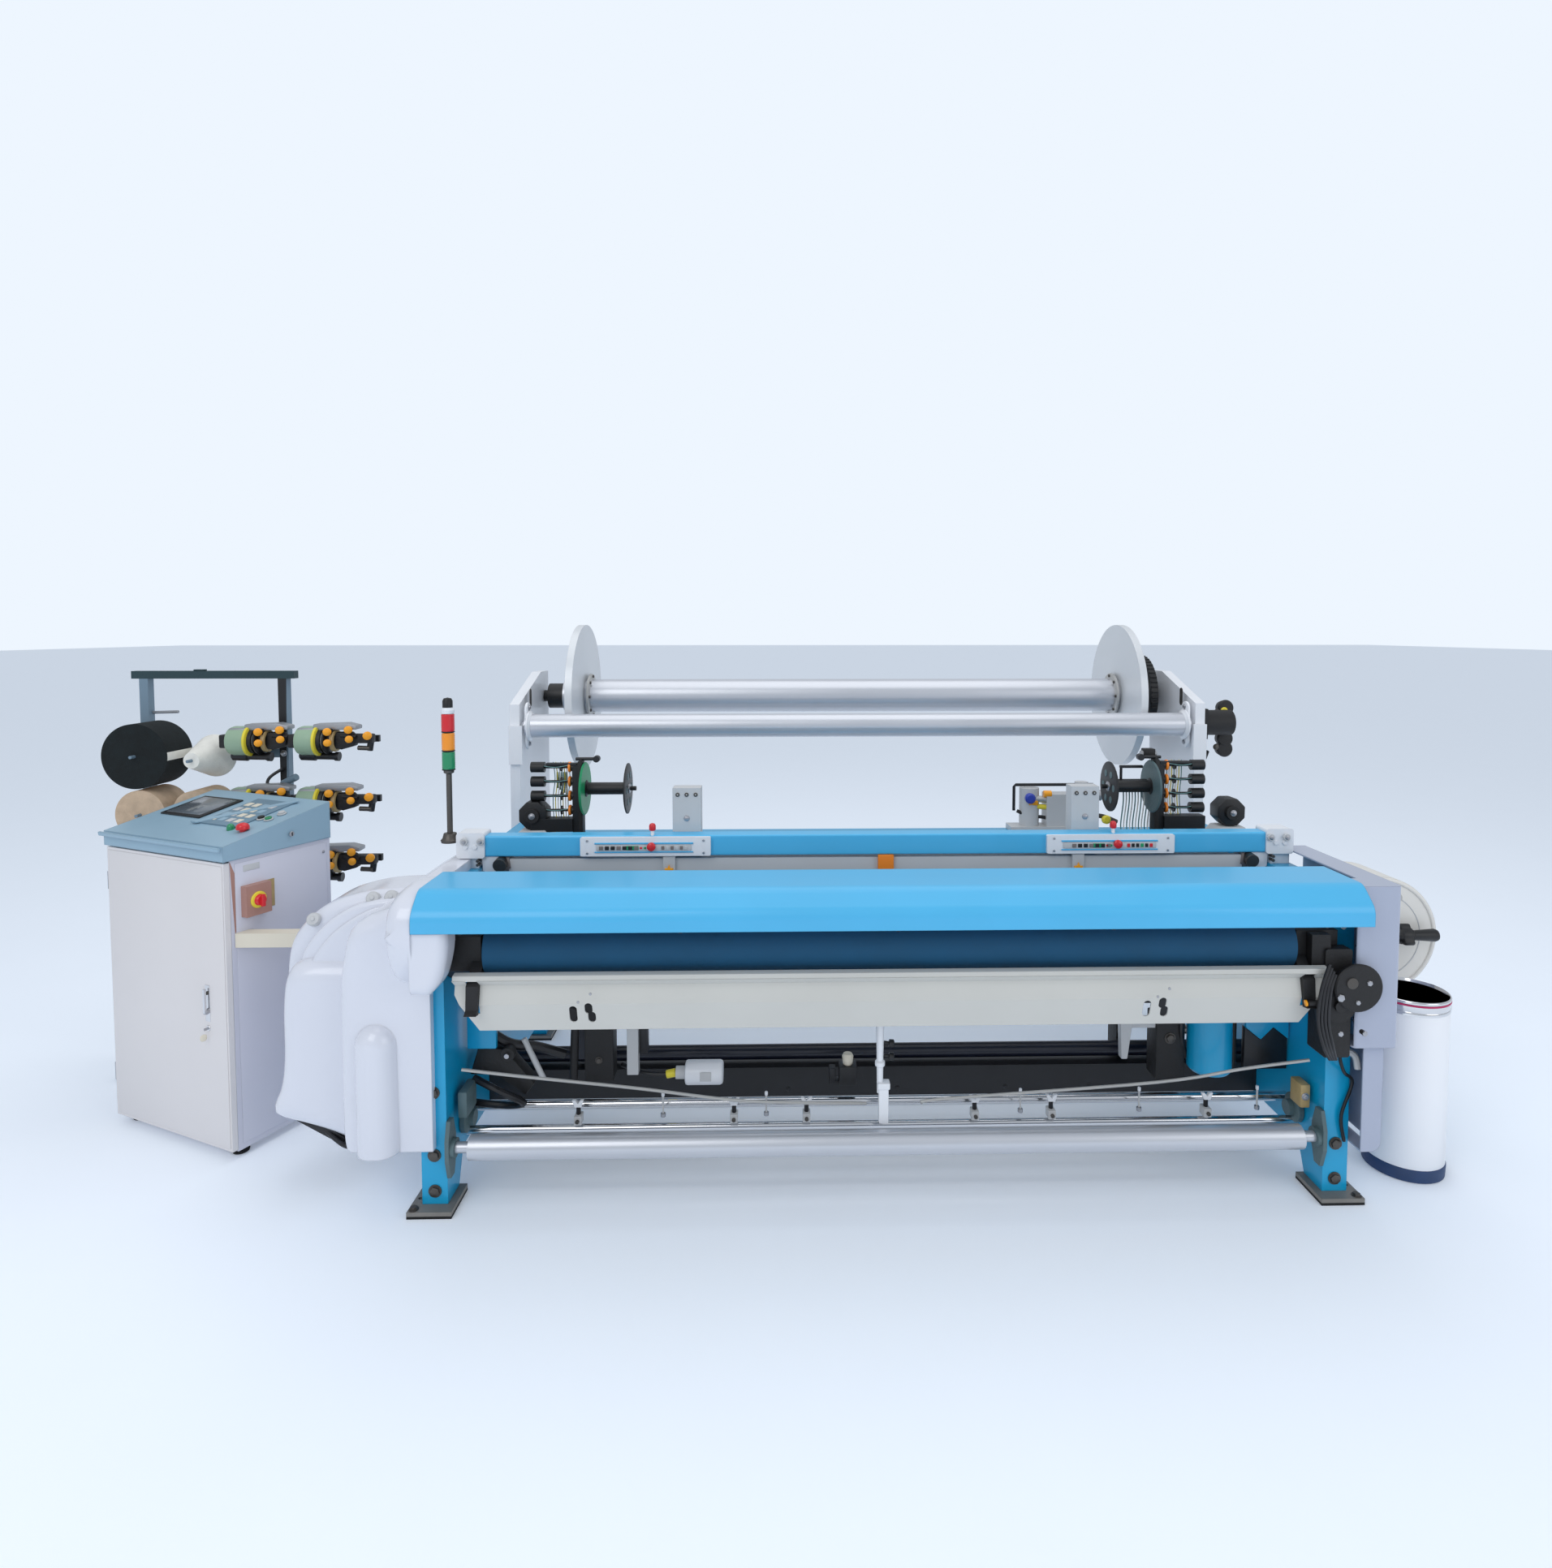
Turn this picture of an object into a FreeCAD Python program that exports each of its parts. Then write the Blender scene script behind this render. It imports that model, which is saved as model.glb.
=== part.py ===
"""A terry rapier loom with its control cabinet, weft creel and waste can.

The row frame has +X to the weaver's right, +Y away from the weaver and +Z up. The origin is on the
floor, at the centre of the four anchor holes in the foot plates. Every size is in millimetres.
"""
import FreeCAD, Part
import math
import os
import re

import Sketcher
from FreeCAD import Placement, Rotation, Vector

doc = FreeCAD.newDocument("power_loom")
dims = doc.addObject("Spreadsheet::Sheet", "dims")

SIZES = {
    # side frames and feet
    "frame_inner": 1305, "frame_wall": 75, "frame_front": -610, "frame_back": 620, "frame_top": 930,
    "arch_top": 120, "leg_depth": 95, "foot_gauge_x": 2792, "foot_gauge_y": 1160,
    "plate_w": 130, "plate_d": 140, "plate_t": 12, "rubber_t": 8, "anchor_r": 7, "anchor_inset": 16,
    "beam_side": 100, "front_beam_side": 80, "front_beam_y": -490, "front_beam_z": 850, "low_beam_y": -220, "low_beam_z": 130,
    "back_beam_y": 250, "back_beam_z": 840, "rail_y": 20, "rail_z": 880, "rail_w": 50, "beam_fit": 0.3,
    # cloth side: take-up, press and cloth rollers
    "working_width": 2340, "takeup_y": -600, "takeup_z": 788, "takeup_r": 82, "journal_r": 20,
    "press_r": 30, "press_across": 0.755, "press_down": 0.656, "nip_gap": 0.5, "cloth_y": -600, "cloth_z": 185,
    "cloth_r": 36, "cloth_half": 1240, "bearing_w": 62, "bearing_h": 170, "bearing_t": 24,
    "run_fit": 0.05, "side_gap": 0.3, "tie_r": 15, "tie_y": -400, "tie_z": 206, "bar_y": -470, "bar_z": 166,
    "bar_r": 13,
    # breast cover and apron
    "cover_half": 1330, "cover_top": 990, "cover_front": -780, "cover_low": 884, "sheet_t": 4, "beam_rest": 34,
    "apron_top": 729, "apron_low": 570, "apron_front": -690, "apron_top_half": 1244,
    "apron_low_half": 1180, "apron_y": -668, "hook_w": 34, "hand_hole_left": 912, "hand_hole_right": 728,
    # end covers
    "end_wall": 5, "left_edge": -1893, "end_low": 130, "end_front": -530, "end_back": -270, "drum_x": -1632,
    "drum_r": 245, "drum_z": 668, "right_drum_x": 1668, "right_drum_r": 198, "right_drum_z": 690,
    "right_drum_front": -285,
    "crank_y": -330, "crank_z": 700, "crank_x": 1700, "crank_r": 12, "crank_seat": 45,
    "right_edge": 1462, "drum_depth": 110,
    # sley, reed and rapiers
    "sley_axis_y": -170, "sley_axis_z": 262, "sley_shaft_r": 25, "race_y": -250, "race_z": 735,
    "race_w": 90, "race_h": 60, "race_half": 1200, "reed_h": 159, "reed_t": 12, "rapier_x": 1060,
    "rapier_l": 180, "sword_x": 985, "sword_w": 45,
    # shedding
    "heald_count": 4, "heald_pitch": 34, "heald_first": -115, "heald_t": 20, "heald_low": 400,
    "heald_high": 938, "heald_rail": 72, "heald_half": 1236, "heald_side": 22, "guide_in": 1226,
    "harness_x": 670, "harness_shift": 32,
    "slide_gap": 0.5,
    # top beam
    "top_y": -270, "top_w": 60, "top_low": 969, "top_high": 1037, "top_half": 1288, "bracket_w": 92,
    "panel_x": 765, "panel_half": 212, "panel_t": 14,
    # beams at the back
    "post_x": 1380, "post_t": 40, "post_front": 470, "post_back": 935, "post_top": 1523,
    "post_low": 300, "pile_y": 872, "pile_z": 1413, "pile_r": 73, "pile_flange_r": 316,
    "flange_t": 30, "flange_x": 1190, "stub_r": 25, "gear_r": 175, "gear_t": 30, "gear_x": 1290, "rest_y": 510,
    "rest_z": 1316, "rest_r": 48, "rest_half": 1362, "ground_y": 752, "ground_z": 440,
    "ground_r": 110, "ground_flange_r": 330,
    # selvedge yarn units
    "unit_x": 1060, "unit_y": 45, "unit_w": 24, "spool_z": 1138, "spool_r": 96, "spool_l": 165, "spool_hub": 22,
    "pin_count": 4, "pin_pitch": 52, "pin_low": 1060, "pin_l": 150,
    # stack light
    "mast_x": -1412, "mast_y": -240, "mast_low": 1041, "lamp_r": 22, "lamp_h": 62,
    # control cabinet, turned about its near corner
    "cab_x": -2077, "cab_y": -329, "cab_turn": 25, "cab_w": 600, "cab_d": 365, "cab_low": 25,
    "cab_high": 975, "cab_wall": 3, "door_t": 18, "door_gap": 0.5, "desk_low": 50, "desk_high": 129,
    # weft creel and feeders
    "creel_x1": -2831, "creel_x2": -2293, "creel_y": 430, "creel_side": 34, "creel_top": 1516, "package_l": 150,
    "creel_bar_high": 1220, "creel_bar_low": 1013,
    "feeder_l": 195, "feeder_r": 58, "feeder_pitch_x": 261, "feeder_top": 1279, "feeder_drop": 238,
    "feeder_x": -2485, "arm_t": 16, "arm_h": 26,
    # waste can
    "can_x": 1667, "can_y": -442, "can_r": 112, "can_h": 570, "can_wall": 3, "can_rim": 45,
}
for line, (alias, value) in enumerate(SIZES.items(), start=1):
    dims.set(f"A{line}", alias)
    dims.set(f"B{line}", str(value))
    dims.setAlias(f"B{line}", alias)
doc.recompute()

NODES = {}


def bound(text):
    """The expression text with each size's alias pointed at the sheet."""
    return re.sub(r"[A-Za-z_]\w*", lambda m: "dims." + m.group() if m.group() in SIZES else m.group(), str(text))


def value(text):
    """The present value of an expression made of sizes, numbers and arithmetic."""
    probe = doc.getObject("probe") or doc.addObject("App::FeaturePython", "probe")
    if "Reading" not in probe.PropertiesList:
        probe.addProperty("App::PropertyFloat", "Reading")
    return float(probe.evalExpression(bound(text)))


def bind(item, **fields):
    for field, text in fields.items():
        item.setExpression(field, bound(text))
    return item


def place(item, x, y, z, turn=None):
    """Puts an item at (x, y, z); turn is (axis, degrees) about the item's own origin."""
    if turn:
        item.Placement = Placement(Vector(), Rotation(Vector(*turn[0]), turn[1]))
    for field, text in (("x", x), ("y", y), ("z", z)):
        item.setExpression("Placement.Base." + field, bound(text))
    return item


def block(x, y, z, dx, dy, dz):
    """A block whose lowest corner is (x, y, z)."""
    item = bind(doc.addObject("Part::Box", "block"), Length=dx, Width=dy, Height=dz)
    return place(item, x, y, z)


TURNS = {"x": ((0, 1, 0), 90), "y": ((1, 0, 0), -90), "z": None, "-x": ((0, 1, 0), -90), "-y": ((1, 0, 0), 90)}


def rod(axis, x, y, z, radius, length):
    """A cylinder that starts at (x, y, z) and runs along axis."""
    item = bind(doc.addObject("Part::Cylinder", "rod"), Radius=radius, Height=length)
    return place(item, x, y, z, TURNS[axis])


def cone(axis, x, y, z, radius1, radius2, length):
    item = bind(doc.addObject("Part::Cone", "cone"), Radius1=radius1, Radius2=radius2, Height=length)
    return place(item, x, y, z, TURNS[axis])


def hexagon(axis, x, y, z, radius, length):
    """A hexagonal bolt head that starts at (x, y, z) and runs along axis."""
    item = bind(doc.addObject("Part::Prism", "head"), Circumradius=radius, Height=length)
    return place(item, x, y, z, TURNS[axis])


def ball(x, y, z, radius):
    return place(bind(doc.addObject("Part::Sphere", "ball"), Radius=radius), x, y, z)


def fuse(*parts):
    item = doc.addObject("Part::MultiFuse", "joined")
    item.Shapes = list(parts)
    item.Refine = True
    return item


def cut(base, *tools):
    item = doc.addObject("Part::Cut", "cut")
    item.Base = base
    item.Tool = tools[0] if len(tools) == 1 else fuse(*tools)
    return item


def group(*parts):
    """Separate solids that share one node."""
    item = doc.addObject("Part::Compound", "group")
    item.Links = list(parts)
    return item


def node(label, item):
    item.Label = label
    NODES[label] = item
    return item


def rounded(base, test, radius):
    """Rounds the edges of base that pass test."""
    doc.recompute()
    picked = [n for n, edge in enumerate(base.Shape.Edges, start=1) if test(edge)]
    item = doc.addObject("Part::Fillet", "rounded")
    item.Base = base
    item.Edges = [(n, value(radius), value(radius)) for n in picked]
    return item


def along(axis):
    """A test for straight edges that run along a row axis."""
    direction = {"x": Vector(1, 0, 0), "y": Vector(0, 1, 0), "z": Vector(0, 0, 1)}[axis]

    def test(edge):
        if not isinstance(edge.Curve, Part.Line):
            return False
        return abs(edge.tangentAt(edge.FirstParameter).dot(direction)) > 0.999

    return test


def outline(body, plane, corners):
    """A closed sketch through corners, each a pair of expressions in the plane's own two axes."""
    sketch = body.newObject("Sketcher::SketchObject", "outline")
    origin_plane = [o for o in body.Origin.OriginFeatures if o.Role == plane][0]
    sketch.AttachmentSupport = [(origin_plane, "")]
    sketch.MapMode = "FlatFace"
    points = [Vector(value(a), value(b), 0) for a, b in corners]
    last = len(points)
    for n in range(last):
        sketch.addGeometry(Part.LineSegment(points[n], points[(n + 1) % last]), False)
    for n in range(last):
        sketch.addConstraint(Sketcher.Constraint("Coincident", n, 2, (n + 1) % last, 1))
    for n, corner in enumerate(corners):
        for kind, text, number in zip(("DistanceX", "DistanceY"), corner, points[n][:2]):
            row = sketch.addConstraint(Sketcher.Constraint(kind, -1, 1, n, 1, number))
            sketch.setExpression(f"Constraints[{row}]", bound(text))
    return sketch


def padded(plane, corners, start, length, holes=()):
    """A body padded from an outline: along +X from a YZ outline, +Z from an XY one, -Y from an XZ one.
    start is where the outline's plane lies on that axis. Each hole is (corners, depth) from that plane."""
    body = doc.addObject("PartDesign::Body", "body")
    sketch = outline(body, plane, corners)
    pad = body.newObject("PartDesign::Pad", "pad")
    pad.Profile = sketch
    bind(pad, Length=length)
    for hole, depth in holes:
        opening = outline(body, plane, hole)
        pocket = body.newObject("PartDesign::Pocket", "pocket")
        pocket.Profile = opening
        pocket.Reversed = True
        bind(pocket, Length=depth)
    field = {"YZ_Plane": "x", "XZ_Plane": "y", "XY_Plane": "z"}[plane]
    body.setExpression("Placement.Base." + field, bound(start))
    return body


def turned(profile, start, y, z):
    """A turned piece on an X axis: profile is (distance along from start, radius) pairs, outside only."""
    body = doc.addObject("PartDesign::Body", "body")
    corners = [(profile[0][0], "0")] + list(profile) + [(profile[-1][0], "0")]
    sketch = outline(body, "XY_Plane", corners)
    spin = body.newObject("PartDesign::Revolution", "revolution")
    spin.Profile = sketch
    spin.ReferenceAxis = (sketch, ["H_Axis"])
    spin.Angle = 360
    return place(body, start, y, z)


def mirrored(item):
    """The same piece on the other side of the loom's centre plane."""
    other = doc.addObject("Part::Mirroring", "mirrored")
    other.Source = item
    other.Normal = (1, 0, 0)
    return other


def sides(make):
    """make(side) for the left (-1) and right (+1) of the loom, as a list."""
    return [make(-1), make(1)]


# ---------------------------------------------------------------- side frames, feet and cross beams
FLOOR_GAP = "(plate_t + rubber_t)"
OUTER = "(frame_inner + frame_wall)"
TAKEUP = ("takeup_y", "takeup_z")
PRESS = ("takeup_y + press_across*(takeup_r + press_r + nip_gap)",
         "takeup_z - press_down*(takeup_r + press_r + nip_gap)")


def side_frame():
    """The left casting: two legs, a web with two lightening recesses, and the rocking shaft's bore."""
    corners = [("frame_front", FLOOR_GAP), ("frame_front + leg_depth", FLOOR_GAP),
               ("frame_front + leg_depth + 40", "arch_top"), ("frame_back - leg_depth - 40", "arch_top"),
               ("frame_back - leg_depth", FLOOR_GAP), ("frame_back", FLOOR_GAP),
               ("frame_back", "frame_top - 180"), ("frame_back - 120", "frame_top"),
               ("frame_front + 40", "frame_top"), ("frame_front", "frame_top - 40")]
    recesses = [([(a, "arch_top + 260"), (b, "arch_top + 260"), (b, high), (a, high)], "frame_wall*0.6")
                for a, b, high in (("frame_front + 90", "-80", "crank_z - 150"), ("0", "frame_back - 110", "frame_top - 90"))]
    casting = padded("YZ_Plane", corners, "-" + OUTER, "frame_wall", recesses)
    bore = rod("x", "-" + OUTER + " - 1", "sley_axis_y", "sley_axis_z", "sley_shaft_r + run_fit", "frame_wall + 2")
    crank_bore = rod("x", "-" + OUTER + " - 1", "crank_y", "crank_z", "crank_r + run_fit", "crank_seat + 2")
    return cut(casting, bore, crank_bore)


def feet():
    """A ground steel plate on a rubber pad under each leg, drilled for a floor anchor."""
    plates, rubbers = [], []
    for sx in (-1, 1):
        for sy in (-1, 1):
            middle = f"{sx}*(foot_gauge_x/2 - plate_w/2 + anchor_inset)"
            for z, thick, made in (("rubber_t", "plate_t", plates), ("0", "rubber_t", rubbers)):
                pad = block(f"{middle} - plate_w/2", f"{sy}*foot_gauge_y/2 - plate_d/2", z, "plate_w", "plate_d", thick)
                hole = rod("z", f"{sx}*foot_gauge_x/2", f"{sy}*foot_gauge_y/2", f"{z} - 1", "anchor_r", f"{thick} + 2")
                made.append(cut(pad, hole))
    node("foot_plates", group(*plates))
    node("foot_rubbers", group(*rubbers))


left_frame = side_frame()
node("side_frames", group(left_frame, mirrored(left_frame)))
feet()

SPAN = "2*(frame_inner - beam_fit)"
left_end = "-frame_inner + beam_fit"
node("cross_beams", group(
    block(left_end, "front_beam_y", "front_beam_z", SPAN, "front_beam_side", "front_beam_side"),
    block(left_end, "low_beam_y", "low_beam_z", SPAN, "beam_side", "beam_side"),
    block(left_end, "back_beam_y", "back_beam_z", SPAN, "beam_side", "80"),
    block(left_end, "rail_y", "rail_z", SPAN, "rail_w", "rail_w")))


def tie_tube(y, z, radius):
    return rod("x", "-frame_inner + beam_fit", y, z, radius, SPAN)


node("guide_tubes", group(tie_tube("tie_y", "tie_z", "tie_r"), tie_tube("bar_y", "bar_z", "bar_r")))


# ---------------------------------------------------------------- rollers on the cloth side
def roller(half, radius, y, z, neck, reach):
    """A roller of half-length half on journals that reach out to +-reach."""
    profile = [("0", neck), (f"{reach} - ({half})", neck), (f"{reach} - ({half})", radius),
               (f"{reach} + ({half})", radius), (f"{reach} + ({half})", neck), (f"2*({reach})", neck)]
    return turned(profile, f"-({reach})", y, z)


ROLL_HALF = "working_width/2"
JOURNAL_END = "(frame_inner - 20)"
node("takeup_roller", roller(ROLL_HALF, "takeup_r", *TAKEUP, "journal_r", JOURNAL_END))
node("press_roller", roller(ROLL_HALF, "press_r", *PRESS, "journal_r*0.6", JOURNAL_END))


def takeup_bracket():
    """The left bracket, bolted to the frame, that carries both journals."""
    corners = [("takeup_y - 50", "takeup_z + 45"), ("takeup_y + 70", "takeup_z + 45"),
               ("takeup_y + 125", "takeup_z - 20"), ("takeup_y + 125", "takeup_z - 115"),
               ("takeup_y + 55", "takeup_z - 115"), ("takeup_y - 50", "takeup_z - 55")]
    plate = padded("YZ_Plane", corners, "-frame_inner + beam_fit", "frame_inner - beam_fit - working_width/2 - 12")
    bores = [rod("x", "-frame_inner - 1", y, z, f"{radius} + run_fit", "frame_wall + 200")
             for (y, z), radius in ((TAKEUP, "journal_r"), (PRESS, "journal_r*0.6"))]
    return cut(plate, *bores)


left_bracket = takeup_bracket()
node("cloth_roller", roller("cloth_half", "cloth_r", "cloth_y", "cloth_z", "journal_r*0.8", "(frame_inner - 3)"))


def cloth_bearing():
    """A flanged bearing plate on the left frame's inner face, with its two bolt ears."""
    face = "-frame_inner + beam_fit"
    corners = [("cloth_y - bearing_w/2", "cloth_z - 30"), ("cloth_y - 14", "cloth_z - bearing_h/2"),
               ("cloth_y + 14", "cloth_z - bearing_h/2"), ("cloth_y + bearing_w/2", "cloth_z - 30"),
               ("cloth_y + bearing_w/2", "cloth_z + 30"), ("cloth_y + 14", "cloth_z + bearing_h/2"),
               ("cloth_y - 14", "cloth_z + bearing_h/2"), ("cloth_y - bearing_w/2", "cloth_z + 30")]
    plate = padded("YZ_Plane", corners, face, "bearing_t/2")
    nose = rod("x", face, "cloth_y", "cloth_z", "bearing_w/2 - 3", "bearing_t")
    bore = rod("x", face + " - 1", "cloth_y", "cloth_z", "journal_r*0.8 + run_fit", "bearing_t + 2")
    return cut(fuse(plate, nose), bore)


left_bearing = cloth_bearing()


# ---------------------------------------------------------------- breast cover, apron and end covers
def shell(outer, inner):
    return cut(outer, inner)


def breast_skin(offset, start, length):
    """The breast cover's outline, drawn in from its outside by offset; it is open below and behind."""
    corners = [(f"cover_front + {offset}", f"cover_low - {offset}"), (f"cover_front + {offset}", f"cover_low + 50"),
               (f"cover_front + 60 + {offset}", f"cover_top - {offset}"),
               (f"front_beam_y - 40 + 2*{offset}", f"cover_top - {offset}"),
               (f"front_beam_y - 40 + 2*{offset}", f"cover_low - {offset}")]
    body = padded("YZ_Plane", corners, start, length)
    nose = value("cover_front") + 70
    return rounded(body, lambda e: along("x")(e) and e.BoundBox.YMax < nose and e.BoundBox.ZMax > value("cover_low") + 5,
                   f"45 - {offset}")


node("breast_cover", shell(breast_skin("0", "-cover_half", "2*cover_half"),
                           breast_skin("sheet_t", "-cover_half - 1", "2*cover_half + 2")))


def cover_rib(x):
    """A plate that bears on the front beam and carries the breast cover's skin."""
    web = breast_skin("(sheet_t + side_gap)", x, "8")
    return fuse(web, block(x, "front_beam_y - 60", "cover_low + 8", "8", "60 - side_gap", "beam_rest"))


node("cover_ribs", group(*[cover_rib(f"{n}*cover_half/2 - 4") for n in (-1.8, -0.9, 0, 0.9, 1.8)]))


def apron():
    """The folded knee plate under the take-up roller: slanting ends, hook slots, two groups of hand holes."""
    front = [("apron_y - 8", "apron_low"), ("apron_y - 34", "apron_low + 85"), ("apron_y - 22", "apron_top - 22"),
             ("apron_y - 50", "apron_top")]
    back = [(f"{y} + sheet_t", z) for y, z in reversed(front)]
    lip = [("apron_y + 40", "apron_low + sheet_t"), ("apron_y + 40", "apron_low")]
    plate = padded("YZ_Plane", front + back[:-1] + [("apron_y - 8 + sheet_t", "apron_low + sheet_t")] + lip,
                   "-apron_top_half", "2*apron_top_half")
    openings = []
    for side in (-1, 1):
        openings.append(padded("XZ_Plane", [(f"{side}*(apron_top_half + 2)", "apron_low - 2"),
                                            (f"{side}*apron_low_half", "apron_low - 2"),
                                            (f"{side}*(apron_top_half + 1)", "apron_top - 45")], "apron_y + 60", "140"))
        middle = f"{side}*(working_width/2 + 38 - hook_w/2)"
        openings.append(block(f"{middle} - hook_w/2 - slide_gap", "apron_y - 60", "apron_top - 102",
                              "hook_w + 2*slide_gap", "120", "110"))
    for hole_x in ("-hand_hole_left", "hand_hole_right"):
        for dx, z, length in ((0, 52, 30), (44, 70, 12), (52, 42, 12)):
            x, low = f"{hole_x} + {dx}", f"apron_low + {z} - {length}/2"
            openings.append(fuse(rod("y", x, "apron_y - 60", low, "11", "100"),
                                 rod("y", x, "apron_y - 60", f"{low} + {length}", "11", "100"),
                                 block(f"{x} - 11", "apron_y - 60", low, "22", "100", length)))
    return cut(plate, *openings)


node("apron", apron())
left_hook = padded("YZ_Plane", [("apron_y - 46", "apron_top - 84"), ("apron_y - 40", "apron_top - 20"),
                                ("takeup_y - 44", "takeup_z - 20"), ("takeup_y - 44", "takeup_z - 60"),
                                ("apron_y - 30", "apron_top - 60"), ("apron_y - 38", "apron_top - 100"),
                                ("apron_y - 62", "apron_top - 96")],
                   "-working_width/2 - 38", "hook_w")


def box_cover(x, y, z, dx, dy, dz, radius, test):
    """A moulded cover: a rounded box, hollow and open at the back."""
    outer = rounded(block(x, y, z, dx, dy, dz), test, radius)
    inner = block(f"({x}) + end_wall", f"({y}) + end_wall", f"({z}) + end_wall", f"({dx}) - 2*end_wall", f"{dy}",
                  f"({dz}) - 2*end_wall")
    return cut(outer, inner)


END_X = "-cover_half - 150"
left_end = box_cover(END_X, "cover_front + 4", "cover_low - 240", "150 - side_gap",
                     "frame_front - side_gap - cover_front - 4", "cover_top - cover_low + 236", "40",
                     lambda e: along("z")(e) and e.BoundBox.XMax < value(END_X) + 1
                     and e.BoundBox.YMax < value("cover_front") + 5)


def left_front_cover():
    """The tall moulding beside the left leg, with a half-round rib for the drive shaft."""
    panel = box_cover("-" + OUTER + " - 194", "end_front - 62", "end_low + 40", "194 - side_gap", "60", "740", "22",
                      lambda e: along("z")(e) and e.BoundBox.YMax < value("end_front") - 60)
    rib = rod("z", "-" + OUTER + " - 96", "end_front - 58", "end_low + 40", "44", "360")
    dome = ball("-" + OUTER + " - 96", "end_front - 58", "end_low + 400", "44")
    room = fuse(rod("z", "-" + OUTER + " - 96", "end_front - 58", "end_low + 39", "44 - end_wall", "361"),
                ball("-" + OUTER + " - 96", "end_front - 58", "end_low + 400", "44 - end_wall"),
                block("-" + OUTER + " - 160", "end_front - 62 + end_wall", "end_low", "130", "100", "500"))
    return cut(fuse(panel, rib, dome), room)


left_rear = box_cover("-" + OUTER + " - 320", "end_back + side_gap", "480", "320 - side_gap", "400", "495", "70",
                      lambda e: along("y")(e) and e.BoundBox.XMax < -value(OUTER) - 300)
node("left_covers", group(left_end, left_front_cover(), left_rear))


def rapier_housing(offset):
    """The left rapier drive housing, drawn in by offset: a round top on a swelling lower body."""
    corners = [(f"left_edge + {offset}", "end_low + 200"), (f"left_edge + 35 + {offset}", f"end_low + 100 + {offset}"),
               (f"left_edge + 130 + {offset}", f"end_low + {offset}"),
               (f"-{OUTER} - 2*side_gap - {offset}", f"end_low + {offset}"),
               (f"-{OUTER} - 2*side_gap - {offset}", f"drum_z + drum_r - {offset}"),
               ("drum_x", f"drum_z + drum_r - {offset}"), ("drum_x", "drum_z"),
               (f"left_edge + {offset}", f"drum_z - 20 - {offset}")]
    body = padded("XZ_Plane", corners, "end_back - 1 + 0.5*(" + offset + ")", "end_back - end_front - " + offset)
    top = rod("y", "drum_x", "end_front - 1 + 1.5*(" + offset + ")", "drum_z", f"drum_r - {offset}",
              "end_back - end_front - " + offset)
    return fuse(body, top)


side_port = block("-" + OUTER + " - 20", "-345", "drum_z - 75", "40", "90", "150")
node("left_rapier_cover", cut(rapier_housing("0"), place(rapier_housing("end_wall"), "0", "end_wall", "0"), side_port))


# ---------------------------------------------------------------- right-hand covers, gearbox and crank
def right_front_cover():
    """The grey cover over the right leg: a front panel beside the breast cover and a deep outer side."""
    front_x = "cover_half + side_gap"
    outer_x = OUTER + " + side_gap"
    front = block(front_x, "frame_front - 88", "500", f"right_edge - ({front_x})", "88 - side_gap", "475")
    side = block(outer_x, "frame_front - side_gap", "500", f"right_edge - ({outer_x})", "410", "475")
    low = block(outer_x, "frame_front - 60", "175", f"right_edge - 22 - ({outer_x})", "300", "326")
    outer = rounded(fuse(front, side), lambda e: along("z")(e) and e.BoundBox.YMax < value("frame_front") - 80, "14")
    low = rounded(low, lambda e: along("y")(e) and e.BoundBox.ZMax < 180 and e.BoundBox.XMin > value(OUTER) + 20, "30")
    rooms = [block(f"{front_x} - 1", "frame_front - 88 + end_wall", "500 + end_wall",
                   f"right_edge - end_wall - ({front_x}) + 1", "88", "475 - 2*end_wall"),
             block(f"{outer_x} - 1", "frame_front - side_gap - 10", "500 + end_wall",
                   f"right_edge - end_wall - ({outer_x}) + 1", "430", "475 - 2*end_wall"),
             block(f"{outer_x} - 1", "frame_front - 60 + end_wall", "175 + end_wall",
                   f"right_edge - 22 - end_wall - ({outer_x}) + 1", "300", "400")]
    shaft_hole = rod("x", OUTER, "crank_y", "crank_z", "crank_r + 2", "200")
    return cut(fuse(outer, low), *rooms, shaft_hole)


node("right_front_cover", right_front_cover())


def right_rapier_cover():
    """A round drum with a neck to the frame, open at the back, for the right rapier wheel."""
    def drum(offset):
        neck_x = f"{OUTER} + side_gap + ({offset}) - 4*({offset})/end_wall"
        return fuse(rod("y", "right_drum_x", f"right_drum_front + {offset}", "right_drum_z", f"right_drum_r - {offset}",
                        "drum_depth - 190 - right_drum_front"),
                    block(neck_x, f"-190 + {offset}", f"right_drum_z - 110 + {offset}", f"right_drum_x - ({neck_x})",
                          "drum_depth", f"220 - 2*({offset})"))

    return cut(drum("0"), drum("end_wall"))


node("right_rapier_cover", right_rapier_cover())


def takeup_gearbox():
    """The black change-gear box on the front of the right leg, with its round gear cover and boss."""
    left, width = "frame_inner - 58", "cover_half - frame_inner + 54"
    case = fuse(block(left, "frame_front - 80", "470", width, "80 - side_gap", "190"),
                block(left, "frame_front - 80", "650", width, "38", "140"))
    case = rounded(case, lambda e: along("y")(e) and e.BoundBox.YMin < value("frame_front") - 75, "8")
    gear_cover = rod("-y", "frame_inner - 30", "frame_front - 79", "634", "50", "26")
    boss = rod("-y", "frame_inner - 30", "frame_front - 100", "634", "16", "16")
    arm = padded("XZ_Plane", [("frame_inner - 58", "570"), ("frame_inner - 94", "690"), ("frame_inner - 94", "830"),
                              ("frame_inner - 40", "830"), ("frame_inner - 30", "600")], "frame_front - 44", "28")
    return fuse(case, gear_cover, boss, arm)


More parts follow.
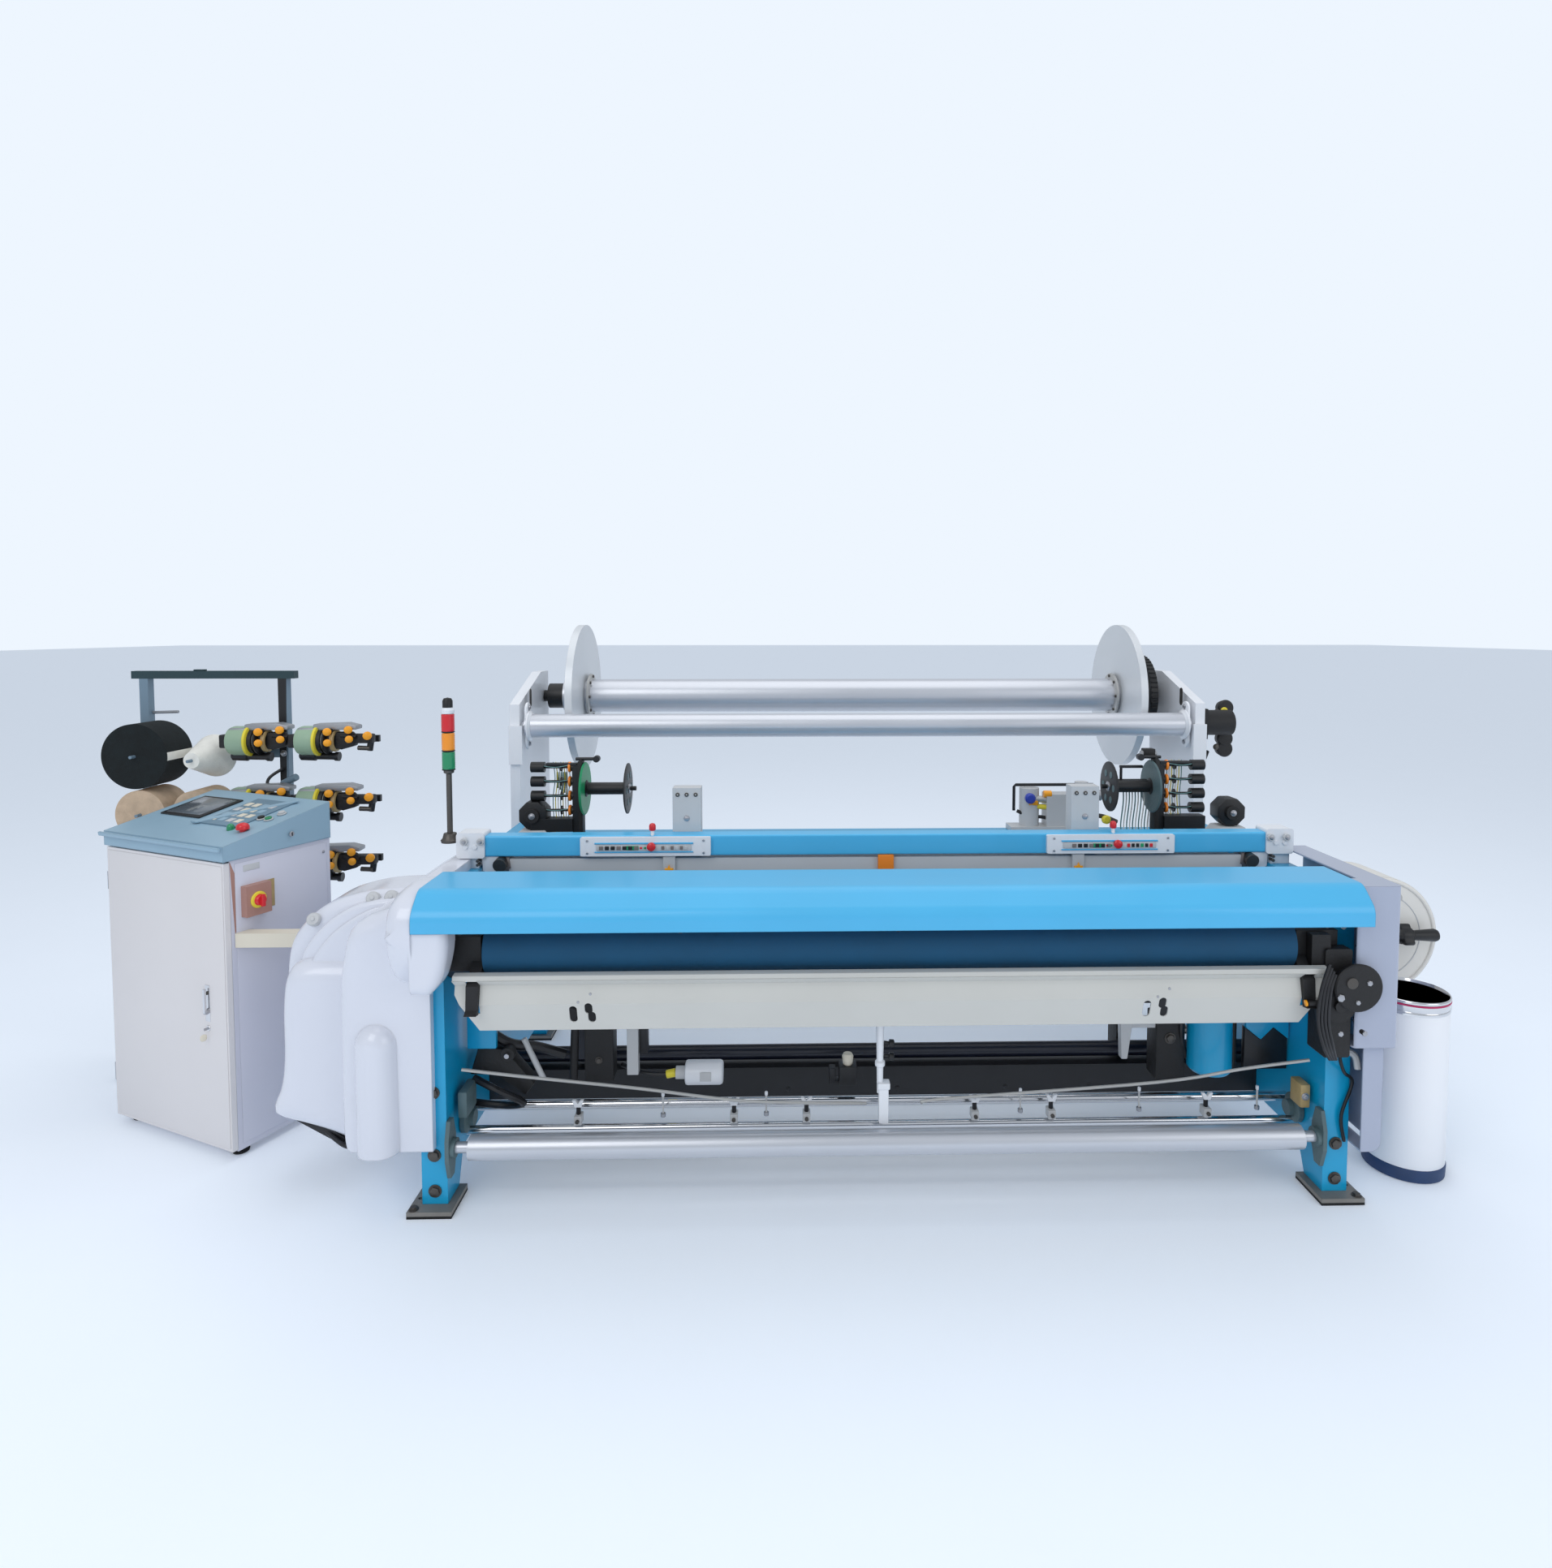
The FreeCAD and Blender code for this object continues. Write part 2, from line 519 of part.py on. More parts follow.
hooked_bracket = fuse(left_bracket, left_hook)
node("roller_brackets", group(hooked_bracket, mirrored(hooked_bracket), left_bearing, mirrored(left_bearing)))


def hand_crank():
    """A shaft along X with a three-lobed knob and a round grip, for turning the loom by hand."""
    lobes = []
    for n in range(3):
        angle = math.radians(90 + 120 * n)
        lobes.append(rod("x", "crank_x", f"crank_y + {20 * math.cos(angle):.3f}", f"crank_z + {20 * math.sin(angle):.3f}",
                         "24", "18"))
    return fuse(rod("x", OUTER + " - crank_seat", "crank_y", "crank_z", "crank_r", f"crank_x + crank_seat - {OUTER}"), *lobes,
                rod("x", "crank_x + 17", "crank_y", "crank_z", "22", "121"))


node("hand_crank", hand_crank())


# ---------------------------------------------------------------- sley, reed and rapiers
def sley():
    """The rocking shaft, its swords and the race board, with the reed clamped on it."""
    shaft = rod("x", "-" + OUTER + " + 4", "sley_axis_y", "sley_axis_z", "sley_shaft_r", f"2*{OUTER} - 8")
    swords = []
    for side in (-1, 1):
        middle = f"{side}*sword_x"
        swords.append(padded("YZ_Plane", [("sley_axis_y - 42", "sley_axis_z"), ("race_y - 30", "race_z - 60"),
                                          ("race_y - 30", "race_z"), ("race_y + 40", "race_z"),
                                          ("sley_axis_y + 42", "sley_axis_z"), ("sley_axis_y", "sley_axis_z - 29")],
                             f"{middle} - sword_w/2", "sword_w"))
    race = block("-race_half", "race_y - race_w/2", "race_z", "2*race_half", "race_w", "race_h")
    reed_y = "race_y + race_w/2 - 30"
    reed = fuse(block("-race_half + 20", reed_y, "race_z + race_h", "2*race_half - 40", "reed_t", "14"),
                block("-race_half + 20", f"{reed_y} + reed_t/2 - 2", "race_z + race_h", "2*race_half - 40", "4", "reed_h"),
                block("-race_half + 20", reed_y, "race_z + race_h + reed_h - 14", "2*race_half - 40", "reed_t", "14"))
    return group(fuse(shaft, *swords, race), reed)


node("sley", sley())


def rapier_head(side):
    """A gripper head on a stub of its tape, resting on the race board."""
    low = "race_z + race_h + 0.3"
    body = block(f"{side}*rapier_x - rapier_l/2", "race_y - 38", low, "rapier_l", "30", "20")
    nose = padded("XY_Plane", [(f"{side}*(rapier_x - rapier_l/2)", "race_y - 38"),
                               (f"{side}*(rapier_x - rapier_l/2 - 50)", "race_y - 30"),
                               (f"{side}*(rapier_x - rapier_l/2 - 50)", "race_y - 22"),
                               (f"{side}*(rapier_x - rapier_l/2)", "race_y - 8")], low, "14")
    return fuse(body, nose)


left_head, right_head = sides(rapier_head)
node("rapier_head_left", left_head)
node("rapier_head_right", right_head)


def rapier_wheel(x, y, z, radius):
    """A tape wheel with a hub and round lightening holes, on a Y axis."""
    rim = rod("y", x, y, z, radius, "26")
    hub = rod("y", x, f"{y} - 14", z, "34", "54")
    holes = []
    for n in range(6):
        angle = math.radians(60 * n)
        holes.append(rod("y", f"{x} + {math.cos(angle):.4f}*0.6*({radius})", f"{y} - 1",
                         f"{z} + {math.sin(angle):.4f}*0.6*({radius})", f"0.17*({radius})", "28"))
    bore = rod("y", x, f"{y} - 20", z, "16 + run_fit", "80")
    return cut(fuse(rim, hub), *holes, bore)


node("rapier_wheel_left", rapier_wheel("drum_x", "-400", "drum_z", "drum_r - 40"))
node("rapier_wheel_right", rapier_wheel("right_drum_x", "-145", "right_drum_z", "right_drum_r - 30"))


def gear_cases():
    """The take-up gearbox, the let-off motor and the two cases whose axles carry the rapier wheels."""
    left = fuse(block("drum_x - 60", "-340", "drum_z - 70", f"-{OUTER} - drum_x + 60", "60", "140"),
                rod("-y", "drum_x", "-340", "drum_z", "16", "90"))
    right = fuse(block(OUTER, "-78", "right_drum_z - 60", f"right_drum_x + 60 - {OUTER}", "60", "120"),
                 rod("-y", "right_drum_x", "-78", "right_drum_z", "16", "88"))
    motor_x = "post_x + post_t + side_gap"
    motor = fuse(block(motor_x, "pile_y - 240", "pile_z - 175", "90", "140", "130"),
                 rod("x", f"{motor_x} + 90", "pile_y - 170", "pile_z - 110", "55", "130"))
    return group(left, right, motor, takeup_gearbox())


node("gear_cases", gear_cases())


# ---------------------------------------------------------------- shedding
def heald_frame(index):
    """An aluminium heald frame: a top and a bottom rail joined by two side stays."""
    y = f"heald_first + {index}*heald_pitch - heald_t/2"
    body = block("-heald_half", y, "heald_low", "2*heald_half", "heald_t", "heald_high - heald_low")
    window = block("-heald_half + heald_side", f"{y} - 1", "heald_low + 50", "2*(heald_half - heald_side)", "heald_t + 2",
                   "heald_high - heald_low - 50 - heald_rail")
    return cut(body, window)


for index in range(SIZES["heald_count"]):
    node(f"heald_frame_{index + 1}", heald_frame(index))


def heald_guide():
    """The left slotted guide block that the heald frames' ends slide in."""
    base = block("-frame_inner + beam_fit", "heald_first - 24", "560", "frame_inner - guide_in - beam_fit",
                 "heald_count*heald_pitch + 14", "260")
    slots = [block("-heald_half - slide_gap", f"heald_first + {n}*heald_pitch - heald_t/2 - slide_gap", "559",
                   "100", "heald_t + 2*slide_gap", "262") for n in range(SIZES["heald_count"])]
    return cut(base, *slots)


def harness_post(side):
    """A pale grey post on the top beam's back face that steadies the harness."""
    x = f"{side}*harness_x - 47 + harness_shift"
    upper = block(x, "top_y + top_w + side_gap", "top_low", "94", "60", "1182 - top_low")
    return fuse(upper, block(x, "top_y + top_w + 22", "top_low - 57", "94", "60 - 22 + side_gap", "60"))


left_guide = heald_guide()
node("harness_guides", group(left_guide, mirrored(left_guide), *sides(harness_post)))


# ---------------------------------------------------------------- top beam and its control panels
def top_beam():
    beam = block("-top_half", "top_y", "top_low", "2*top_half", "top_w", "top_high - top_low")
    return rounded(beam, lambda e: along("x")(e), "6")


node("top_beam", top_beam())


def beam_bracket(side):
    """The white end bracket: a head beside the beam's end, on a foot that stands on the side frame."""
    low_x = "top_half + side_gap" if side > 0 else f"-{OUTER} + side_gap"
    width = f"{OUTER} - top_half - 2*side_gap"
    head = rounded(block(low_x, "top_y - 6", "top_low - 4", width, "top_w + 12", "top_high - top_low + 16"),
                   lambda e: along("y")(e), "10")
    foot_x = "frame_inner + 6" if side > 0 else f"-{OUTER} + 6"
    foot = block(foot_x, "top_y + 8", "frame_top", "frame_wall - 12", "top_w - 16", "top_low - frame_top")
    screws = [hexagon("-y", f"{low_x} + {n}*({width})/3", "top_y - 5", "(top_low + top_high)/2", "8", "6") for n in (1, 2)]
    return fuse(head, foot, *screws)


node("beam_brackets", group(*sides(beam_bracket)))


def control_panel(side):
    """A flat operator panel screwed to the beam's front, with a signal lamp on a stalk above it."""
    plate = rounded(block(f"{side}*panel_x - panel_half", "top_y - panel_t", "top_low + 3", "2*panel_half",
                          "panel_t - 0.2", "top_high - top_low - 6"), lambda e: along("y")(e), "5")
    bore = rod("y", f"{side}*panel_x + 20", "top_y - panel_t - 1", "top_low + 36", "8 + slide_gap", "panel_t")
    return cut(plate, bore)


def stop_button(side):
    """A red mushroom push button with its stem in the panel's bore."""
    x, y = f"{side}*panel_x + 20", "top_y - panel_t"
    return fuse(rod("y", x, f"{y} - 10", "top_low + 36", "8", "panel_t + 4"),
                rod("-y", x, f"{y} - 8", "top_low + 36", "14", "9"))


node("control_panels", group(*sides(control_panel)))
left_stop, right_stop = sides(stop_button)
node("stop_button_left", left_stop)
node("stop_button_right", right_stop)


# ---------------------------------------------------------------- fittings low on the front
def slanted_rod(side, x1, z1, x2, z2):
    """A flat spring rod from a side frame down to the guide bar, with its clamp."""
    bar = padded("XZ_Plane", [(f"{side}*({x1})", f"{z1} - 6"), (f"{side}*({x1})", f"{z1} + 6"),
                              (f"{side}*({x2})", f"{z2} + 6"), (f"{side}*({x2})", f"{z2} - 6")], "bar_y - 30", "10")
    clamp = block(f"{side}*({x2}) - 14", "bar_y - 40", "bar_z - 15", "28", "40 - bar_r - side_gap", f"{z2} - bar_z + 28")
    return fuse(bar, clamp)


def front_fittings():
    """The centre support, spring rods, air filter, switch box, lifter columns and the frames' hex bolts."""
    support = fuse(block("-44", "apron_y + 4", "bar_z - 44", "20", "20", "apron_low - side_gap - bar_z + 44"),
                   block("-44", "apron_y + 4", "bar_z - 44", "20", "bar_y - apron_y + 10", "24"),
                   block("-44", "bar_y - 10", "bar_z - 21", "20", "20", "21 - bar_r - side_gap"),
                   rod("x", "-25", "apron_y + 14", "apron_low - 150", "11", "27"),
                   rod("x", "-25", "apron_y + 14", "apron_low - 190", "11", "27"))
    rods = [slanted_rod(-1, "frame_inner - side_gap", "358", "380", "189"),
            slanted_rod(1, "frame_inner - side_gap", "395", "147", "184")]
    air_filter = fuse(rod("x", "-664", "low_beam_y - 26", "low_beam_z + 57", "22", "82"),
                      block("-640", "low_beam_y - 26", "low_beam_z + 40", "34", "26 - side_gap", "34"))
    switch_box = block("-166", "low_beam_y - 30", "low_beam_z + 62", "46", "30 - side_gap", "36")
    lifters = [block(x, "low_beam_y + beam_side + side_gap", "low_beam_z + 10", "36", "90", "210")
               for x in ("-979", "853")]
    motor_box = block("-1372", "top_y + 66", "frame_top + side_gap", "84", "80", "36")
    bolts = []
    for side in (-1, 1):
        middle = f"{side}*(frame_inner + frame_wall/2)"
        bolts.append(hexagon("-y", middle, "frame_front - side_gap", "300", "15", "12"))
        bolts += [hexagon("z", f"{side}*(frame_inner - 12)", f"{y}*foot_gauge_y/2", FLOOR_GAP + " + side_gap", "9", "8")
                  for y in (-1, 1)]
    return group(support, *rods, air_filter, switch_box, *lifters, motor_box, *bolts)


node("front_fittings", front_fittings())


# ---------------------------------------------------------------- posts and beams at the back
def post():
    """The left post plate on the frame's outer face, bored for three journals, with a roller end plate."""
    corners = [("post_front", "post_low + 180"), ("frame_back - 60", "post_low"), ("post_back", "post_low"),
               ("post_back", "post_top"), ("pile_y - 60", "post_top"), ("post_front", "rest_z + 90")]
    plate = padded("YZ_Plane", corners, "-post_x - post_t - side_gap", "post_t")
    bores = [rod("x", "-post_x - post_t - 2", y, z, f"{radius} + run_fit", "post_t + 4")
             for y, z, radius in (("pile_y", "pile_z", "stub_r"), ("ground_y", "ground_z", "stub_r"),
                                  ("rest_y", "rest_z", "journal_r"))]
    end_plate = block("-post_x - post_t - side_gap", "post_front - 20", "rest_z - 151", "post_t + 14", "20", "156")
    return fuse(cut(plate, *bores), end_plate)


left_post = post()
node("back_posts", group(left_post, mirrored(left_post)))
node("rest_roller", roller("rest_half", "rest_r", "rest_y", "rest_z", "journal_r", "(post_x + post_t - 4)"))


def warp_beam(y, z, tube_r, flange_r):
    """A flanged beam: tube, two flanges at the working width and journals out to the posts."""
    reach = "(post_x + post_t - 4)"
    inner, outer = f"{reach} - flange_x", f"{reach} + flange_x"
    profile = [("0", "stub_r"), ("60", "stub_r"), ("60", "stub_r + 30"), ("130", "stub_r + 30"), ("130", tube_r),
               (f"{inner} - flange_t", tube_r), (f"{inner} - flange_t", flange_r), (inner, flange_r), (inner, tube_r),
               (outer, tube_r), (outer, flange_r), (f"{outer} + flange_t", flange_r), (f"{outer} + flange_t", tube_r),
               (f"2*{reach} - 130", tube_r), (f"2*{reach} - 130", "stub_r"), (f"2*{reach}", "stub_r")]
    return turned(profile, f"-{reach}", y, z)


def beam_gear():
    """The drive wheel at the pile beam's right end, with lightening holes."""
    wheel = rod("x", "gear_x", "pile_y", "pile_z", "gear_r", "gear_t")
    hub = rod("x", "gear_x", "pile_y", "pile_z", "stub_r + 32", "gear_t + 40")
    holes = []
    for n in range(8):
        angle = math.radians(45 * n)
        holes.append(rod("x", "gear_x - 1", f"pile_y + {math.cos(angle):.4f}*0.66*gear_r",
                         f"pile_z + {math.sin(angle):.4f}*0.66*gear_r", "gear_r*0.15", "gear_t + 2"))
    return cut(fuse(wheel, hub), *holes)


pile = warp_beam("pile_y", "pile_z", "pile_r", "pile_flange_r")
node("pile_beam", fuse(pile, beam_gear()))
node("ground_beam", warp_beam("ground_y", "ground_z", "ground_r", "ground_flange_r"))


def oil_unit():
    """The air and oil preparation unit on the back cross beam."""
    low = "back_beam_z + 80 + side_gap"
    return fuse(block("570", "back_beam_y + 6", low, "324", "88", "22"),
                rod("z", "650", "back_beam_y + 50", f"{low} + 20", "38", "150"),
                block("710", "back_beam_y + 14", f"{low} + 20", "110", "70", "128"),
                rod("z", "856", "back_beam_y + 50", f"{low} + 20", "26", "172"))


node("oil_unit", oil_unit())


# ---------------------------------------------------------------- selvedge yarn units
def selvedge_unit(side):
    """An upright on the cross rail: a spool axle inward, four bobbin pins outward and a motor below."""
    inner = "unit_x - unit_w/2" if side > 0 else "-unit_x - unit_w/2"
    out, back = ("x", "-x") if side > 0 else ("-x", "x")
    outer_face, inner_face = f"{side}*(unit_x + unit_w/2 - 2)", f"{side}*(unit_x - unit_w/2 + 2)"
    upright = block(inner, "unit_y - 14", "rail_z + rail_w + side_gap", "unit_w", "28", "1226 - rail_z - rail_w")
    pins = []
    for n in range(SIZES["pin_count"]):
        z = f"pin_low + {n}*pin_pitch"
        pins.append(rod(out, outer_face, "unit_y", z, "5", "pin_l"))
        pins.append(rod(out, f"{side}*(unit_x + pin_l - 38)", "unit_y", z, "19", "48"))
        pins.append(rod(out, f"{side}*(unit_x + 50)", "unit_y", z, "16", "5"))
    axle = rod(back, inner_face, "unit_y", "spool_z", "8", "spool_l + 40")
    low_x = "unit_x + 10" if side > 0 else "-unit_x - 10 - 150"
    motor = block(low_x, "unit_y - 26", "pin_low - 74", "150", "52", "46")
    return fuse(upright, *pins, axle, motor)


def selvedge_spool(side):
    """A flanged spool that turns on the unit's axle."""
    start = f"{side}*(unit_x - unit_w/2 - 12)"
    inward = "-x" if side > 0 else "x"
    drum = rod(inward, start, "unit_y", "spool_z", "spool_hub", "spool_l")
    near = rod(inward, start, "unit_y", "spool_z", "spool_r", "8")
    far = rod(inward, f"{side}*(unit_x - unit_w/2 - 12 - spool_l + 10)", "unit_y", "spool_z", "spool_r", "10")
    bore = rod(inward, f"{side}*(unit_x - unit_w/2)", "unit_y", "spool_z", "8 + run_fit", "spool_l + 60")
    return cut(fuse(drum, near, far), bore)


node("selvedge_units", group(*sides(selvedge_unit)))
left_spool, right_spool = sides(selvedge_spool)
node("selvedge_spool_left", left_spool)
node("selvedge_spool_right", right_spool)


def stack_light():
    """A pole with a base, four stacked lamps and a cap, on a foot beside the left beam bracket."""
    foot = block("-post_x - 60 - side_gap", "mast_y - 22", "mast_low - 31", "60", "44", "31")
    pole = rod("z", "mast_x", "mast_y", "mast_low", "9", "170")
    base = rod("z", "mast_x", "mast_y", "mast_low + 165", "lamp_r - 3", "36")
    lamps = rod("z", "mast_x", "mast_y", "mast_low + 200", "lamp_r", "4*lamp_h")
    return fuse(foot, pole, base, lamps)


node("stack_light", stack_light())


# ---------------------------------------------------------------- control cabinet
def turned_out(*parts):
    """Parts drawn from the cabinet's near corner (width toward -X, depth toward +Y), turned into place."""
    item = place(group(*parts), "cab_x", "cab_y", "0", ((0, 0, -1), SIZES["cab_turn"]))
    item.setExpression("Placement.Rotation.Angle", "dims.cab_turn*1 deg")
    return item


def cabinet_body():
    """A steel case, open at the front, on four feet, with the cable duct to the left rapier cover."""
    case = block("-cab_w", "0", "cab_low", "cab_w", "cab_d", "cab_high - cab_low")
    room = block("-cab_w + cab_wall", "-1", "cab_low + cab_wall", "cab_w - 2*cab_wall", "cab_d + 1 - cab_wall",
                 "cab_high - cab_low - 2*cab_wall")
    feet = [rod("z", x, y, "0", "16", "cab_low + 1") for x in ("-cab_w + 40", "-40") for y in ("40", "cab_d - 40")]
    switch_box = block("-1", "34", "cab_high - 190", "30", "86", "100")
    shaft_bore = rod("x", "-2", "77", "cab_high - 140", "8 + run_fit", "40")
    case = turned_out(cut(fuse(cut(case, room), *feet, switch_box), shaft_bore))
    duct = block("cab_x + 6", "cab_y + 8", "692", "left_edge - cab_x + 90", "44", "46")
    drum = rod("y", "drum_x", "end_front - 5", "drum_z", "drum_r + side_gap", "400")
    side = turned_out(block("-cab_w", "-60", "600", "cab_w - 1", "cab_d + 60", "300"))
    return fuse(case, cut(duct, drum, side))


node("cabinet_body", cabinet_body())
HINGE_Y = "-door_gap - door_t"
door = block("-cab_w", HINGE_Y, "cab_low + 6", "cab_w", "door_t", "cab_high - cab_low - 12")
lock_bore = rod("y", "-93", HINGE_Y + " - 1", "488", "7 + run_fit", "door_t + 2")
node("cabinet_door", turned_out(cut(door, lock_bore)))
node("door_handle", turned_out(fuse(rod("y", "-93", HINGE_Y + " - 20", "488", "7", "34"),
                                    block("-107", HINGE_Y + " - 26", "446", "28", "18", "120"))))


def desk():
    """The sloping desk on the cabinet, with bores for its two push buttons."""
    low = "cab_high + side_gap"
    wedge = padded("YZ_Plane", [("-24", low), ("cab_d", low), ("cab_d", "cab_high + desk_high"),
                                ("-24", "cab_high + desk_low")], "-cab_w - 6", "cab_w + 12")
    bores = [rod("z", x, "90", f"{low} - 1", "8 + slide_gap", "200") for x in ("-60", "-120")]
    return cut(wedge, *bores)


def desk_button(x, cap_r, cap_t):
    """A push button whose stem slides in the desk."""
    top = "cab_high + desk_low + (desk_high - desk_low)*(114 + 20)/(cab_d + 24)"
    return turned_out(fuse(rod("z", x, "90", "cab_high + 12", "8", f"{top} - cab_high - 2"),
                           rod("z", x, "90", f"{top} + 8", cap_r, cap_t)))


node("cabinet_desk", turned_out(desk()))
node("emergency_stop", desk_button("-60", "20", "16"))
node("start_button", desk_button("-120", "13", "8"))
node("main_switch", turned_out(fuse(rod("x", "0", "77", "cab_high - 140", "8", "32"),
                                    rod("x", "29.5", "77", "cab_high - 140", "26", "8"),
                                    block("37", "70", "cab_high - 164", "16", "14", "48"))))


# ---------------------------------------------------------------- weft creel and feeders
PACKAGES = [("creel_x1 + 58", "creel_bar_high + 8"), ("creel_x1 + 72", "creel_bar_low - 8"),
            ("creel_x1 + 270", "creel_bar_high - 8"), ("creel_x1 + 270", "creel_bar_low + 8")]
PACKAGE_RADII = [("124", "124"), ("94", "94"), ("84", "30"), ("74", "74")]


def creel_frame():
    """Two square posts on feet, joined by three bars, with package spindles and the feeders' three arms."""
    half = "creel_side/2"
    parts = []
    for x in ("creel_x1", "creel_x2"):
        parts.append(block(f"{x} - {half}", f"creel_y - {half}", "30", "creel_side", "creel_side", "creel_top - 30"))
        parts.append(block(f"{x} - {half}", "creel_y - 222", "0", "creel_side", "470", "30"))
    inner, gap = f"creel_x1 + {half}", "creel_x2 - creel_x1 - creel_side"
    for z in ("120", "creel_bar_low", "creel_bar_high"):
        parts.append(block(inner, f"creel_y - {half}", f"{z} - {half}", gap, "creel_side", "creel_side"))
    parts.append(block(f"creel_x1 - {half} - 30", f"creel_y - {half}", "creel_top", "creel_x2 - creel_x1 + creel_side + 60",
                       "creel_side", "30"))
    for row in range(3):
        parts.append(block("feeder_x + 50", f"creel_y - {half} - arm_t", f"feeder_top - {row}*feeder_drop - arm_h/2",
                           "2*feeder_pitch_x", "arm_t", "arm_h"))
    for x, z in PACKAGES:
        parts.append(rod("-y", x, f"creel_y - {half}", z, "6", "package_l + 24"))
    return parts


node("creel_frame", group(*creel_frame()))


def package(middle, radii):
    """A cross-wound yarn package bored to fit its spindle."""
    x, z = middle
    back = "creel_y - creel_side/2 - side_gap"
    return cut(cone("-y", x, back, z, radii[0], radii[1], "package_l"),
               rod("-y", x, "creel_y", z, "6.3", "package_l + 60"))


node("yarn_packages", group(*[package(middle, radii) for middle, radii in zip(PACKAGES, PACKAGE_RADII)]))
FEEDER_Y = "(creel_y - creel_side/2 - arm_t - feeder_r - side_gap)"


def feeder_spots():
    for row in range(3):
        for column in range(2):
            yield f"feeder_x + {column}*feeder_pitch_x", f"feeder_top - {row}*feeder_drop"


def feeder(x, z):
    """A weft feeder's body: a motor end box, a round housing and a top slab, bored for the winding disc."""
    body = rod("x", f"{x} + 40", FEEDER_Y, z, "feeder_r", "feeder_l - 40")
    box = block(x, FEEDER_Y + " - 48", f"{z} - 46", "46", "96", "92")
    slab = block(f"{x} + 30", FEEDER_Y + " - 26", f"{z} + feeder_r - 10", "feeder_l + 16", "52", "22")
    bore = rod("x", f"{x} + feeder_l - 40", FEEDER_Y, z, "6 + run_fit", "60")
    return cut(fuse(body, box, slab), bore)


def feeder_disc(x, z):
    """A winding disc with its shaft in the feeder's bore."""
    return fuse(rod("x", f"{x} + feeder_l + side_gap", FEEDER_Y, z, "feeder_r - 14", "14"),
                rod("x", f"{x} + feeder_l - 36", FEEDER_Y, z, "6", "40"))


node("feeder_bodies", group(*[feeder(x, z) for x, z in feeder_spots()]))
for number, (x, z) in enumerate(feeder_spots(), start=1):
    node(f"feeder_disc_{number}", feeder_disc(x, z))


# ---------------------------------------------------------------- waste can
def waste_can():
    """An open can with a thickened rim band and base ring."""
    outer = fuse(rod("z", "can_x", "can_y", "0", "can_r", "can_h"),
                 rod("z", "can_x", "can_y", "can_h - can_rim", "can_r + 3", "can_rim"),
                 rod("z", "can_x", "can_y", "0", "can_r + 3", "can_rim"))
    return cut(outer, rod("z", "can_x", "can_y", "can_wall", "can_r - can_wall", "can_h"))


node("waste_can", waste_can())


# ---------------------------------------------------------------- check and write
doc.recompute()
for item in doc.Objects:
    if "Invalid" in item.State or "Error" in item.State:
        raise RuntimeError(f"{item.Label} did not compute")
os.makedirs("parts", exist_ok=True)
for label, item in NODES.items():
    if item.Shape.isNull() or not item.Shape.isValid():
        raise RuntimeError(f"{label} has no valid shape")
    item.Shape.exportStep(f"parts/{label}.step")
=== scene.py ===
"""The looks of a terry rapier loom with its control cabinet, weft creel and waste can.

The CAD nodes are painted first, then the added pieces are built in millimetres in the same frame,
and the floor, the lights and the camera come last.
"""
from math import atan2, cos, pi, radians, sin, sqrt

import bmesh
import bpy
from mathutils import Matrix, Vector


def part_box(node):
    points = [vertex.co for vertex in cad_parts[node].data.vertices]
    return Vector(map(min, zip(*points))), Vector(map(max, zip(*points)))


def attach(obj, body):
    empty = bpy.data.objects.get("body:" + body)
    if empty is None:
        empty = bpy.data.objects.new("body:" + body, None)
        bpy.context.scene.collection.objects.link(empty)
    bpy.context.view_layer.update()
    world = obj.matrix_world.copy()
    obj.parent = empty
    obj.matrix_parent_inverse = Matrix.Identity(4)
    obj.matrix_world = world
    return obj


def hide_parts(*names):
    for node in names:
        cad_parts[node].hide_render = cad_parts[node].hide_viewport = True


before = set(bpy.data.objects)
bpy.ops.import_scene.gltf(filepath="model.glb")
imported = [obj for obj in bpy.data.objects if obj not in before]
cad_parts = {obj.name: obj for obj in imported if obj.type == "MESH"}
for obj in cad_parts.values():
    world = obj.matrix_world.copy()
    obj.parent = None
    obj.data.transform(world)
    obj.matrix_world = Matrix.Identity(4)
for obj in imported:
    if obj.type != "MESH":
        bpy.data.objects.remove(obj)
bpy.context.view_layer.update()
MM = 0.001
FAR = 9000                  # mm, past everything
SMOOTH_ANGLE = 38           # degrees, the sharpest corner of an added piece that is shaded smooth
NODE_SMOOTH_ANGLE = 32      # degrees, the same on a CAD node
SHARP_CORNER = 0.6          # radians, the least corner that gets a bevel


# ---------------------------------------------------------------- materials
def srgb(r, g, b):
    """A linear colour from 0-255 display values."""
    return tuple(((c / 255 + 0.055) / 1.055) ** 2.4 if c > 10 else c / 255 / 12.92
        for c in (r, g, b)) + (1.0,)


COAT_ROUGHNESS = 0.12
MOTTLE_BAND = 0.3, 0.7      # where the broad noise goes from the darker to the lighter shade
SMOOTHER, ROUGHER = 0.05, 0.07
RELIEF_DEPTH = 0.002        # metres


def give(node, **values):
    """Sets a node's inputs; an underscore stands for a space in an input's name."""
    for name, value in values.items():
        node.inputs[name.replace("_", " ")].default_value = value


